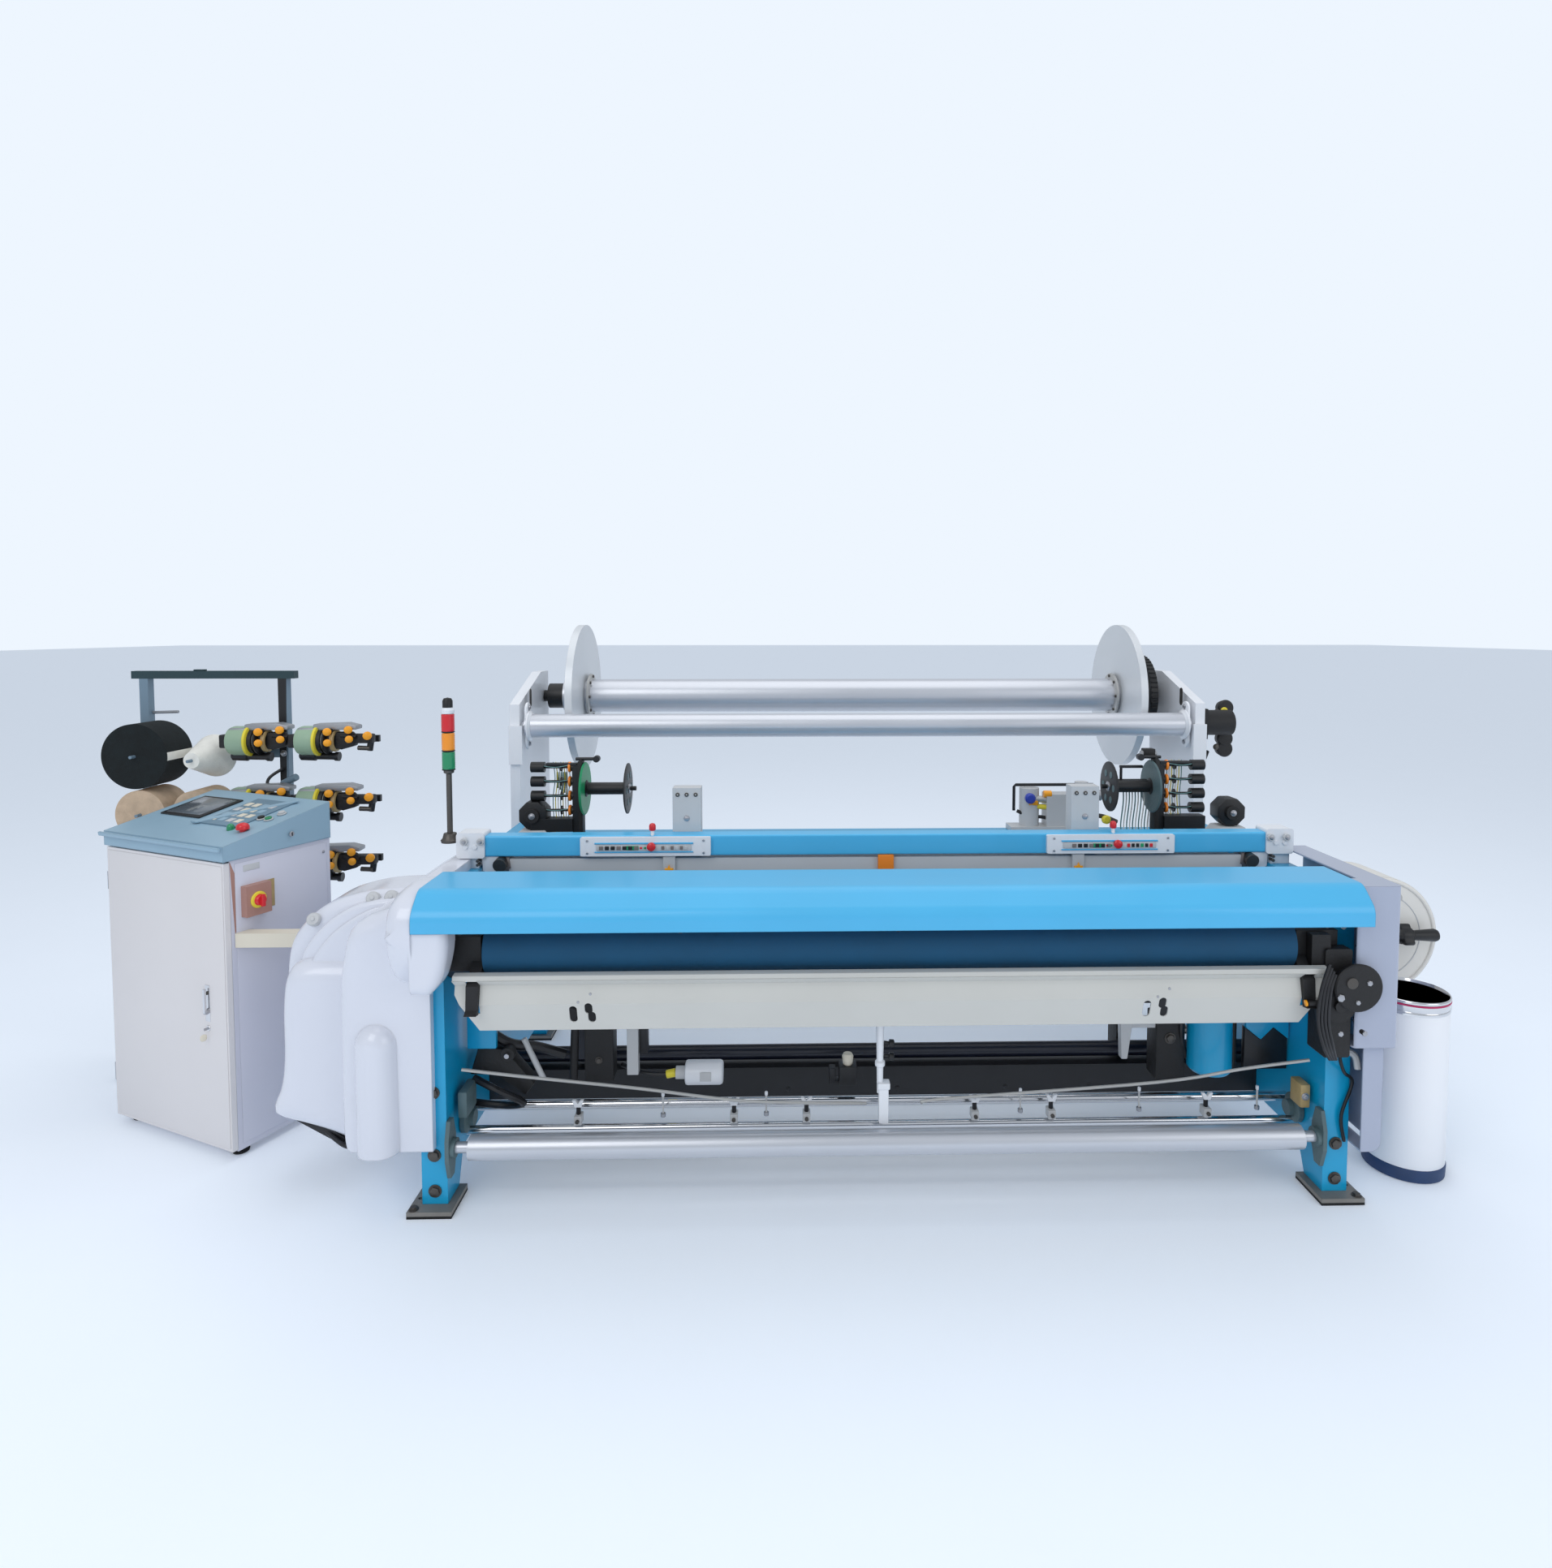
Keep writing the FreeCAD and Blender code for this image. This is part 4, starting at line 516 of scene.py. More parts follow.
def operator_panels():
    """The end brackets, the panels with their keys and lamps, and the dashed rail under the beam."""
    beam = Piece("top_beam_fittings", "black_plastic")
    for side in (-1, 1):
        for out in (1299, 1352):
            beam.rod((side * out, -281, 1022), (side * out, -287, 1022), 12, PALE)
            beam.hexagon((side * out, -287, 1022), FRONT, 7, 3, STEEL, washer=False)
        for lift in (945, 958):
            beam.rod((side * 1310, -260, lift), (side * 1310, -284, lift), 5, DARK_STEEL)
        beam.prism([(side * 1240, 1000), (side * 1306, 1000), (side * 1300, 920), (side * 1258, 905)], "y",
            -262, -216, WHITE, 4)
        beam.rod((side * 1238, -230, 950), (side * 1238, -288, 944), 22, DARK_STEEL)
        beam.rod((side * 1210, -238, 946), (side * 1250, -238, 940), 30, WARM_GREY)
    for x, wide, made in ((-690, 20, PALE), (22, 26, DEEP_ORANGE), (660, 20, PALE)):
        beam.box((x - wide, -276, 915), (x + wide, -262, 969), made, 2)
        if made is PALE:
            beam.prism([(x - 14, 918), (x + 14, 918), (x + 14, 930), (x + 5, 930), (x, 942), (x - 5, 930),
                (x - 14, 930)], "y", -281, -275, ORANGE, 1)
    beam.box((-1216, -262, 905), (1216, -232, 960), PALE, 5)
    beam.box((-1216, -262, 886), (1216, -240, 903), WARM_GREY, 3)
    for n in range(34):
        x = -1190 + n * 70
        beam.box((x, -266, 888), (x + 46, -259, 894), WHITE, 1)
        beam.rod((x + 58, -262, 896), (x + 58, -265, 896), 4, STEEL, sides=10)
    beam.done()

    for side, node in ((-1, "left"), (1, "right")):
        panel = Piece(f"operator_panel_{node}", "panel_white")
        middle = PANEL_MIDDLE * side
        first, last = middle - PANEL_HALF, middle + PANEL_HALF
        panel.box((first + 40, -288, 1012), (last - 50, -283, 1017), SKY, 1)
        panel.box((first + 40, -288, 984), (last - 50, -283, 988), SKY, 1)
        panel.box((first + 46, -288, 991), (last - 56, -283, 1009), PALE, 1)
        start = middle - 150 if side < 0 else middle - 130
        for n in range(7):
            panel.box((start + n * 19, -291, 994), (start + n * 19 + 13, -286, 1006),
                BLACK if n % 3 else WARM_GREY, 1)
        panel.box((middle - 62, -290, 993), (middle - 22, -286, 1007), GREEN_LENS, 1.5)
        for n, made in enumerate((RED, GREEN, BLACK, AMBER)):
            panel.rod((middle - 14 + n * 13, -284, 1000), (middle - 14 + n * 13, -291, 1000), 4, made,
                sides=12)
        keys = (RED, PLASTIC, PLASTIC, GREEN, PLASTIC, RED) if side > 0 else (WARM_GREY, PALE) * 3
        for n, made in enumerate(keys):
            panel.box((middle + 52 + n * 15, -290, 994), (middle + 62 + n * 15, -285, 1006), made, 1)
        for x in (first + 16, last - 16):
            for z in (982, 1023):
                panel.rod((x, -284, z), (x, -287, z), 4, STEEL, sides=10)
        stalk = middle + (20 if side < 0 else 14)
        panel.rod((stalk, -262, 1034), (stalk, -262, 1054), 6, WHITE)
        panel.lathe((stalk, -262, 1052), UP, [(0, 9), (3, 11), (16, 11), (22, 8), (25, 0)], RED)
        panel.done()
        low, high = (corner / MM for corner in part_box(f"stop_button_{node}"))
        x, z, depth = (low.x + high.x) / 2, (low.z + high.z) / 2, high.y - low.y
        button = Piece(f"stop_mushroom_{node}", "red_plastic", f"stop_button_{node}")
        button.lathe((x, high.y, z), FRONT, [(0, 7), (depth - 12, 7), (depth - 11, 14), (depth - 4, 14),
            (depth - 1, 10), (depth, 0)], RED)
        button.done(f"stop_button_{node}")


operator_panels()


# ---------------------------------------------------------------- under the apron
CLAMPS = (-950, -470, -245, 280, 520, 1010)
FRAME_FACE = -610                 # the side frames' front
PINS = (-690, -370, 425, 800, 1175)
BEARING_CAP = [(0, 44), (14, 44), (18, 38), (18, 24), (34, 24)]


def lower_front():
    """Spring rods on clamps, pins, levers, filter, switch box, apron lip and the frames' screws."""
    rods = Piece("warp_spring_rods", "aluminium")
    for outer, waist, near, end in ((-1262, 0.6, -430, -60), (1262, 0.66, 190, 110)):
        rods.tube([(outer, -600, 420), (outer * 0.86, -560, 376), (outer * waist, -520, 316),
            (near, -500, 262), (end, -492, 246)], 5, ALLOY)
    for x in CLAMPS:
        rods.rod((x, -474, 214), (x, -474, 250), 7, BLACK)
        rods.box((x - 12, -492, 186), (x + 12, -456, 214), PALE, 3)
        rods.prism([(x - 18, 262), (x - 10, 240), (x + 10, 240), (x + 18, 262), (x + 8, 262), (x, 250),
            (x - 8, 262)], "y", -486, -472, WHITE, 1.5)
        rods.rod((x, -492, 200), (x, -500, 200), 6, DARK_STEEL)
    for x in PINS:
        rods.rod((x, -470, 206), (x, -470, 270), 3, PALE, sides=10)
        rods.rod((x, -470, 264), (x, -470, 276), 5, WHITE, sides=10)
        rods.rod((x, -470, 200), (x, -470, 212), 8, STEEL, sides=12)
    rods.lathe((-26, -560, 566), DOWN, [(0, 34), (6, 34), (8, 14), (60, 12), (150, 10), (154, 15),
        (166, 15), (170, 10), (250, 9)], WHITE, 20)
    rods.box((-30, -572, 224), (0, -548, 336), WHITE, 4)
    rods.box((-34, -576, 330), (4, -544, 350), WHITE, 4)
    for z in (470, 430):
        rods.lathe((-14, -560, z), (1, 0, -0.15), [(0, 5), (14, 5), (15, 11), (28, 12), (31, 7), (31, 0)],
            PLASTIC)
    rods.box((-1366, -204, 932), (-1292, -124, 962), PLASTIC, 10)
    rods.rod((-1292, -164, 947), (-1276, -164, 947), 9, DARK_STEEL)
    for x in (-960, 872):
        rods.box((x - 16, -118, 142), (x + 16, -32, 348), CAST, 5)
        rods.hexagon((x, -118, 300), FRONT, 11, 8, DARK_STEEL)
    rods.done("front_fittings")

    left = Piece("left_under_apron", "cast_black")
    left.box((-1290, -470, 420), (-1200, -452, 700), BLUE, 5)
    left.prism([(-1262, 420), (-1180, 410), (-1090, 300), (-1120, 262), (-1210, 330), (-1290, 330)], "y",
        -452, -400, CAST, 8)
    left.tube([(-1270, -470, 330), (-1180, -500, 300), (-1120, -470, 250), (-1180, -440, 226),
        (-1280, -430, 232)], 11, BLACK)
    left.tube([(-1240, -440, 470), (-1170, -430, 420), (-1100, -400, 396), (-1010, -380, 360)], 15, BLACK)
    left.rod((-1165, -452, 404), (-1165, -478, 404), 22, CAST)
    left.rod((-1165, -478, 404), (-1165, -488, 404), 8, STEEL)
    left.rod((-1070, -420, 300), (-1130, -420, 430), 9, PALE)
    left.box((-950, -384, 270), (-858, -314, 560), CAST, 6)
    left.rod((-985, -384, 270), (-975, -384, 520), 13, CAST)
    left.rod((-985, -404, 500), (-985, -344, 500), 20, CAST)
    left.box((-812, -404, 300), (-776, -374, 640), PALE, 3)
    left.box((-782, -384, 360), (-748, -356, 640), BLACK, 3)
    for z in (340, 470, 540):
        left.hexagon((-904, -384, z), FRONT, 9, 8, DARK_STEEL)
    left.lathe((-1302, -470, 206), RIGHT, BEARING_CAP, GREEN_CAST)
    left.box((-1290, -560, 250), (-1262, -470, 330), GREEN_CAST, 6)
    left.done()

    right = Piece("right_under_apron", "cast_black")
    right.prism([(742, 640), (846, 640), (812, 500), (790, 330), (770, 330), (764, 500)], "y", -396, -366,
        PALE, 4)
    right.box((780, -392, 430), (888, -372, 450), PALE, 3)
    right.box((880, -400, 260), (975, -320, 470), CAST, 8)
    right.prism([(880, 470), (975, 470), (960, 620), (915, 640), (900, 560)], "y", -392, -362, BLACK, 5)
    right.hexagon((925, -400, 400), FRONT, 14, 10, DARK_STEEL)
    right.tube([(985, -380, 330), (960, -400, 430), (985, -390, 540), (1040, -380, 590), (1090, -370, 540),
        (1096, -360, 430)], 9, BLACK)
    right.lathe((1050, -404, 300), UP, [(0, 60), (10, 68), (190, 68), (200, 60), (206, 24), (222, 24),
        (224, 0)], BLUE)
    right.rod((1050, -404, 520), (1050, -404, 640), 24, BLACK)
    right.rod((1130, -390, 300), (1130, -390, 600), 14, CAST)
    right.prism([(1160, 660), (1300, 660), (1300, 400), (1250, 440), (1210, 400), (1160, 440)], "y", -420,
        -396, BLUE, 4)
    right.prism([(1160, 440), (1210, 400), (1250, 440), (1300, 400), (1300, 300), (1160, 300)], "y", -412,
        -392, BLACK, 4)
    right.prism([(1180, 640), (1240, 590), (1294, 640)], "y", -426, -418, CAST, 2)
    right.lathe((1302, -470, 206), (-1, 0, 0), BEARING_CAP, GREEN_CAST)
    right.box((1262, -560, 250), (1292, -500, 322), TAN, 5)
    right.hexagon((1276, -560, 286), FRONT, 9, 8, STEEL)
    right.tube([(1338, -616, 480), (1330, -640, 440), (1344, -640, 400), (1380, -622, 360),
        (1350, -622, 260), (1362, -620, 180)], 5, BLACK)
    right.rod((1300, -612, 458), (1356, -612, 458), 13, CAST)
    right.tube([(1356, -612, 458), (1380, -630, 446), (1384, -640, 410)], 10, PALE)
    right.done()

    middle = Piece("filter_and_switch", "white_moulding")
    middle.lathe((-630, -380, 296), RIGHT, [(0, 30), (3, 36), (9, 38), (112, 38), (118, 35), (121, 30),
        (121, 0)], WHITE)
    middle.rod((-628, -380, 296), (-660, -380, 296), 20, PALE)
    middle.rod((-660, -380, 296), (-690, -380, 290), 13, YELLOW)
    middle.tube([(-690, -380, 290), (-760, -370, 290), (-840, -330, 300)], 8, BLACK)
    middle.box((-580, -419, 284), (-545, -416, 312), PALE, 0.5)
    middle.box((-140, -430, 270), (-84, -380, 330), PLASTIC, 4)
    middle.lathe((-112, -405, 330), UP, [(0, 14), (6, 16), (26, 18), (34, 14), (38, 0)], BEIGE)
    middle.prism([(-170, 262), (-92, 262), (-92, 272), (-150, 272), (-150, 312), (-170, 312)], "y", -400,
        -370, BLACK, 2)
    for x in (-300, 60, 420, 700):
        middle.hexagon((x, -300, 196), FRONT, 7, 4, BLACK)
    middle.done()

    lip = Piece("apron_lip", "grey_paint")
    lip.prism([(-717, 727), (-714, 742), (-694, 746), (-690, 738), (-690, 727)], "x", -1243, 1243, APRON, 2)
    for x in (-912, 728):
        lip.rod((x + 20, -719, 668), (x + 20, -722, 668), 4, STEEL, sides=10)
        lip.rod((x + 54, -716, 690), (x + 54, -720, 690), 4, STEEL, sides=10)
    lip.done()

    bolts = Piece("frame_screws", "black_paint")
    for x, z in ((-1342, 356), (-1342, 168), (1342, 168), (-1342, 60), (1342, 60)):
        bolts.hexagon((x, FRAME_FACE, z), FRONT, 15, 11, DARK_STEEL)
    for x in (-1396, 1396):
        for y in (-634, -526, 526, 634):
            bolts.hexagon((x, y, 20), UP, 11, 9, DARK_STEEL)
    bolts.done()


lower_front()


# ---------------------------------------------------------------- selvedge units, oil unit and guides
AXLE_Y, AXLE_Z = 45, 1138         # the selvedge spools' axle
MOTOR_Z = 1044
POST_FACE = -209                  # the guide posts' front


def back_units():
    """Motors, discs, bobbins and yarns of the two selvedge units, and the oil unit's pipes and frame."""
    for side, label in ((-1, "left"), (1, "right")):
        unit = Piece(f"selvedge_trim_{label}", "black_plastic")
        motor = 1212 if side < 0 else 1318
        octagon = [(side * motor + 54 * cos(pi / 8 + pi / 4 * k), MOTOR_Z + 54 * sin(pi / 8 + pi / 4 * k))
            for k in range(8)]
        unit.prism(octagon, "y", 20, 92, PLASTIC, 7)
        unit.rod((side * motor, 20, MOTOR_Z), (side * motor, 8, MOTOR_Z), 26, CAST)
        unit.hexagon((side * motor, 8, MOTOR_Z), FRONT, 9, 7, STEEL)
        unit.prism([(side * (motor - 66), 969), (side * (motor + 66), 969), (side * (motor + 44), 992),
            (side * (motor - 44), 992)], "y", 10, 96, PALE, 4)
        unit.prism([(side * 1034, 935), (side * 1050, 935), (side * 1050, 1238), (side * 1040, 1246),
            (side * 1034, 1238)], "y", 22, 66, CAST, 2)
        unit.box((side * 1110 - 55, 30, 1222), (side * 1110 + 55, 52, 1232), BLACK, 2)
        unit.rod((side * 1060, 40, 1246), (side * 985, 40, 1246), 6, BLACK)
        unit.rod((side * 985, 28, 1246), (side * 985, 52, 1246), 12, BLACK)
        for n in range(4):
            z = 1060 + 52 * n
            unit.lathe((side * 1078, AXLE_Y, z), (side, 0, 0), [(0, 17), (2, 19), (8, 19), (10, 12),
                (13, 0)], DEEP_ORANGE)
            unit.lathe((side * 1054, AXLE_Y, z), (side, 0, 0), [(0, 10), (10, 10), (14, 15), (22, 15),
                (24, 12)], PLASTIC)
            unit.lathe((side * 1170, AXLE_Y, z), (side, 0, 0), [(0, 5), (2, 13), (10, 14), (16, 8), (24, 8),
                (30, 13), (38, 12), (42, 4)], PLASTIC)
            unit.tube([(side * 1084, 30, z + 8), (side * 1130, 24, z + 2), (side * 1176, 32, z + 6)], 1.4,
                HARNESS, 6)
        for n in range(7):
            x = side * (1092 + 9 * n)
            unit.tube([(x, 62, 1232), (x + 4, 70, 1170), (x - 3, 66, 1100), (x, 60, 1030)], 1.8,
                (HARNESS, YARN_CREAM, YELLOW)[n % 3], 6)
        if side > 0:
            for n in range(10):
                x = 938 + 11 * n
                unit.tube([(x, 84, 1150), (x + 3, 80, 1080), (x - 4, 84, 990), (x, 80, 950)], 2.4,
                    (HARNESS, YARN_CREAM)[n % 2], 6)
            unit.box((915, 70, 1140), (1046, 92, 1158), CAST, 3)
            unit.box((925, 74, 1200), (1010, 88, 1210), BLACK, 2)
            unit.rod((930, 80, 1158), (930, 80, 1206), 5, BLACK)
            unit.box((1010, 66, 1236), (1052, 100, 1272), CAST, 4)
            unit.rod((1002, 83, 1252), (1060, 83, 1252), 12, FEEDER_GREY)
        else:
            for n in range(5):
                unit.lathe((-1140 + 8 * n, 96, 1190), (0, 0.1, -1),
                    [(0, 3), (20 + 6 * n, 4), (60 + 6 * n, 3)], HARNESS, 10)
        unit.done()

        spool = Piece(f"selvedge_drum_{label}", "black_plastic", f"selvedge_spool_{label}")
        outer = [(0, 20), (3, 92), (7, 96), (11, 92), (12, 30)]
        spool.lathe((side * 1036, AXLE_Y, AXLE_Z), (-side, 0, 0), outer, GREEN if side < 0 else GREEN_CAST)
        spool.lathe((side * 1028, AXLE_Y, AXLE_Z), (-side, 0, 0),
            [(0, 30), (6, 30), (10, 22), (140, 22), (146, 28)], PLASTIC)
        spool.lathe((side * 881, AXLE_Y, AXLE_Z), (-side, 0, 0), [(0, 30), (2, 84), (4, 91), (8, 91),
            (10, 84), (10, 0)], PLASTIC)
        for n in range(6):
            angle = pi / 3 * n
            spot = Vector((side * 871.5, AXLE_Y + 52 * cos(angle), AXLE_Z + 52 * sin(angle)))
            spool.rod(spot, spot + Vector((-side * 2, 0, 0)), 13, GREEN_CAST, sides=14, edge=0.5)
        spool.lathe((side * 872, AXLE_Y, AXLE_Z), (-side, 0, 0), [(0, 18), (4, 18), (7, 12), (7, 0)], STEEL)
        spool.done(f"selvedge_spool_{label}")

    oil = Piece("oil_unit_trim", "bare_steel")
    oil.tube([(590, 300, 1000), (590, 300, 1094), (596, 300, 1101), (902, 300, 1101), (909, 300, 1094),
        (909, 300, 1060)], 6, BLACK, smooth=False)
    oil.lathe((641, 262, 1056), FRONT, [(0, 14), (5, 20), (18, 20), (24, 14), (24, 0)], KNOB_BLUE)
    oil.rod((655, 280, 1050), (770, 280, 1042), 13, ALLOY)
    oil.rod((670, 280, 1020), (760, 280, 1012), 10, YELLOW)
    oil.rod((700, 276, 1068), (730, 276, 1068), 14, ORANGE)
    oil.box((640, 262, 1026), (676, 290, 1044), ORANGE, 3)
    oil.lathe((900, 290, 1064), (0.9, -0.3, -0.1), [(0, 12), (3, 20), (30, 21), (36, 14), (40, 0)],
        FEEDER_GREY)
    oil.tube([(760, 280, 1040), (800, 270, 1000), (860, 262, 990), (930, 262, 982), (985, 262, 960)], 9,
        DARK_STEEL)
    oil.tube([(600, 290, 1000), (650, 284, 980), (700, 284, 976), (760, 284, 960)], 7, BLACK)
    oil.lathe((936, 250, 972), (0, -1, 0.2), [(0, 16), (14, 17), (20, 10), (20, 0)], YELLOW)
    oil.done()

    guides = Piece("guide_post_trim", "bare_steel")
    for post_x in (-638, 702):
        for x in (post_x - 30, post_x, post_x + 30):
            guides.rod((x, POST_FACE, 1160), (x, POST_FACE - 4, 1160), 7, DARK_STEEL, sides=14)
            guides.rod((x, POST_FACE, 1160), (x, POST_FACE - 4.5, 1160), 3, ALLOY, sides=10)
        guides.hexagon((post_x, POST_FACE, 1080), FRONT, 8, 6, STEEL)
    guides.done()


back_units()


# ---------------------------------------------------------------- warp beams at the back
PILE_Y, PILE_Z = 872, 1413        # the pile beam's axis
GEAR_PEGS, PEG_REACH = 48, 175


def beam_trim():
    """Gear slots, hub rings, roller end plates, the post's slot drawn as a dark plate of painted shade, and
    the let-off gearbox's ribs.
    """
    pile = Piece("pile_beam_trim", "bare_steel", "pile_beam")
    for n in range(6):
        angle = pi / 3 * n + 0.4
        for face_x, way in ((1289, -1), (1321, 1)):
            spot = Vector((face_x, PILE_Y + 112 * cos(angle), PILE_Z + 112 * sin(angle)))
            pile.lathe(spot, (way, 0, 0), [(0, 24), (1.2, 24), (1.8, 22), (1.8, 0)], FLANGE, sides=20)
    for n in range(GEAR_PEGS):
        angle = pi / 24 * n
        spot = Vector((0, cos(angle), sin(angle)))
        pile.rod(Vector((1291, PILE_Y, PILE_Z)) + spot * PEG_REACH,
            Vector((1319, PILE_Y, PILE_Z)) + spot * PEG_REACH, 4.5, PLASTIC, sides=8)
    for x, way in ((-1175, 1), (1175, -1), (-1226, -1), (1226, 1)):
        pile.lathe((x - way * 2, PILE_Y, PILE_Z), (way, 0, 0), [(0, 98), (8, 98), (11, 94), (12, 74)], ALLOY)
        for n in range(8):
            angle = pi / 4 * n
            spot = Vector((x, PILE_Y + 86 * cos(angle), PILE_Z + 86 * sin(angle)))
            pile.hexagon(spot + Vector((way * 9, 0, 0)), (way, 0, 0), 7, 6, DARK_STEEL, washer=False)
    pile.lathe((-1226, PILE_Y, PILE_Z), (-1, 0, 0), [(0, 60), (20, 60), (24, 46), (40, 46), (44, 66),
        (62, 66), (66, 40)], PLASTIC)
    pile.done()

    posts = Piece("post_trim", "black_plastic")
    for side in (-1, 1):
        oval = arc((510, 1378), (34, 34), 0, 10, 10)
        oval += arc((510, 1254), (34, 34), 10, 11, 10) + arc((510, 1254), (34, 34), 10, 21, 10)
        posts.prism(oval, "x", side * 1358 - 5, side * 1358 + 5, WHITE, 3)
        for z in (1390, 1242):
            posts.hexagon((side * 1352, 510, z), (-side, 0, 0), 8, 6, STEEL)
        posts.lathe((side * 1352, 510, 1316), (-side, 0, 0), [(0, 62), (6, 62), (10, 54), (14, 50)], WHITE)
        # The post's slot is a flat dark plate: painted shade where the hole is.
        slot = arc((560, 1452), (13, 13), 0, 9, 8) + arc((560, 1404), (13, 13), 8, 17, 8)
        posts.prism(slot, "x", side * 1359 - 1, side * 1359 + 1, DARK_STEEL, 0)
        posts.rod((side * 1356, PILE_Y, PILE_Z), (side * 1338, PILE_Y, PILE_Z), 48, CAST)
    for z in (1180, 1226, 1272, 1318, 1362):
        posts.lathe((1640, 760, z), (0, -1, 0.05), [(-20, 30), (14, 36), (22, 30), (24, 0)], CAST)
    posts.lathe((1628, 738, 1352), FRONT, [(0, 14), (6, 15), (10, 10), (10, 0)], YELLOW)
    for z in (1190, 1345):
        posts.hexagon((1600, 742, z), FRONT, 11, 8, DARK_STEEL)
    posts.tube([(1560, 740, 1170), (1520, 700, 1130), (1440, 640, 1110), (1420, 560, 1060)], 9, BLACK)
    posts.done()


beam_trim()


# ---------------------------------------------------------------- weft creel and feeders
FEEDER_X, FEEDER_Y, FEEDER_TOP = -2485, 339, 1279
FEEDER_APART, FEEDER_DROP = 261, 238


def weft_side():
    """The six weft feeders with their winding rings and yarn windings, and the creel's pegs."""
    feeders = Piece("weft_feeders", "feeder_green")
    for number in range(6):
        x, y = FEEDER_X + FEEDER_APART * (number % 2), FEEDER_Y
        z = FEEDER_TOP - FEEDER_DROP * (number // 2)
        feeders.box((x, y - 30, z - 26), (x + 34, y + 30, z + 26), PLASTIC, 6)
        feeders.lathe((x + 28, y, z), RIGHT, [(0, 40), (6, 52), (20, 57), (74, 57), (78, 52)], FEEDER)
        feeders.box((x + 40, y - 34, z + 30), (x + 112, y + 58, z + 52), FEEDER_GREY, 8)
        feeders.prism([(x + 96, z + 50), (x + 96, z + 66), (x + 220, z + 70), (x + 262, z + 60),
            (x + 262, z + 44), (x + 120, z + 42)], "y", y - 26, y + 30, FEEDER_GREY, 6)
        feeders.lathe((x + 100, y, z), RIGHT, [(0, 52), (3, 60), (12, 60), (15, 52)], YELLOW)
        feeders.lathe((x + 112, y, z), RIGHT, [(0, 46), (4, 50), (18, 50), (20, 40), (24, 40), (26, 52),
            (34, 54), (38, 48)], PLASTIC)
        for n in range(5):
            feeders.lathe((x + 128 + 2.6 * n, y, z), RIGHT, [(0, 41), (1.2, 42.5), (2.4, 41)], YARN_CREAM,
                sides=32)
        feeders.lathe((x + 30, y + 8, z - 58), (1, 0, -0.04), [(0, 14), (6, 20), (60, 20), (64, 15),
            (130, 14), (136, 18), (150, 18)], BLACK)
        for off_x, off_y, off_z, big in ((158, -44, 38, 15), (160, -48, -4, 14), (232, -30, 44, 15),
                (236, -34, 8, 14)):
            feeders.lathe((x + off_x, y + off_y, z + off_z), (0.5, -0.8, 0.1),
                [(-12, 9), (-2, 9), (0, big), (10, big), (14, big * 0.7), (15, 0)], ORANGE)
        feeders.box((x + 150, y - 36, z - 14), (x + 172, y + 10, z + 50), PLASTIC, 5)
        feeders.prism([(x + 168, z - 26), (x + 200, z - 34), (x + 250, z - 20), (x + 256, z + 12),
            (x + 236, z + 34), (x + 180, z + 34)], "y", y - 24, y + 16, CAST, 7)
        feeders.rod((x + 200, y - 20, z + 20), (x + 262, y - 26, z + 18), 7, PLASTIC)
        if number % 2:
            feeders.box((x + 230, y - 22, z - 10), (x + 318, y + 18, z + 26), CAST, 8)
            feeders.lathe((x + 306, y - 30, z + 22), (0.3, -1, 0),
                [(-10, 10), (0, 16), (10, 16), (14, 10), (14, 0)], ORANGE)
            feeders.rod((x + 300, y, z - 40), (x + 308, y, z + 10), 12, PLASTIC)
            feeders.rod((x + 260, y - 10, z - 28), (x + 306, y - 10, z - 30), 9, DARK_STEEL)
    feeders.done("feeder_bodies")
    for number in range(1, 7):
        low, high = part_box(f"feeder_disc_{number}")
        ring = Piece(f"winding_ring_{number}", "black_plastic", f"feeder_disc_{number}")
        x, y, z = low.x / MM, (low.y + high.y) / 2 / MM, (low.z + high.z) / 2 / MM
        wide = (high.x - low.x) / MM
        ring.lathe((x + 4, y, z), RIGHT, [(0, 30), (1, 43), (6, 44), (14, 42), (16, 34), (8, 31), (6, 0)],
            TAN)
        ring.lathe((x + 5, y, z), RIGHT, [(0, 33), (6, 33), (6, 12), (9, 11), (9, 0)], PLASTIC)
        ring.lathe((x + 11, y - 2, z), RIGHT, [(0, 9), (wide - 22, 12), (wide - 14, 12), (wide - 12, 8),
            (wide - 12, 0)], ORANGE)
        ring.done(f"feeder_disc_{number}")

    creel = Piece("creel_trim", "black_plastic")
    creel.rod((-2838, 440, 1380), (-2710, 430, 1384), 6, FEEDER_GREY)
    creel.box((-2640, 418, 1546), (-2600, 442, 1552), CREEL_TOP, 2)
    for x in (-2831, -2293):
        for z in (1220, 1013, 760):
            creel.hexagon((x, 411, z), FRONT, 10, 7, STEEL)
        creel.box((x - 24, 404, z - 180), (x + 24, 412, z - 120), CREEL, 3)
    creel.rod((-2293, 400, 1100), (-2230, 380, 1130), 14, CREEL)
    creel.tube([(-2293, 400, 1160), (-2340, 380, 1120), (-2330, 370, 1060), (-2290, 380, 1030)], 6, BLACK)
    creel.done()


weft_side()


# ---------------------------------------------------------------- stack light, can, crank
CAN_SIDES = 56
CRANK_Y = -330
GEARBOX_FACE = -732


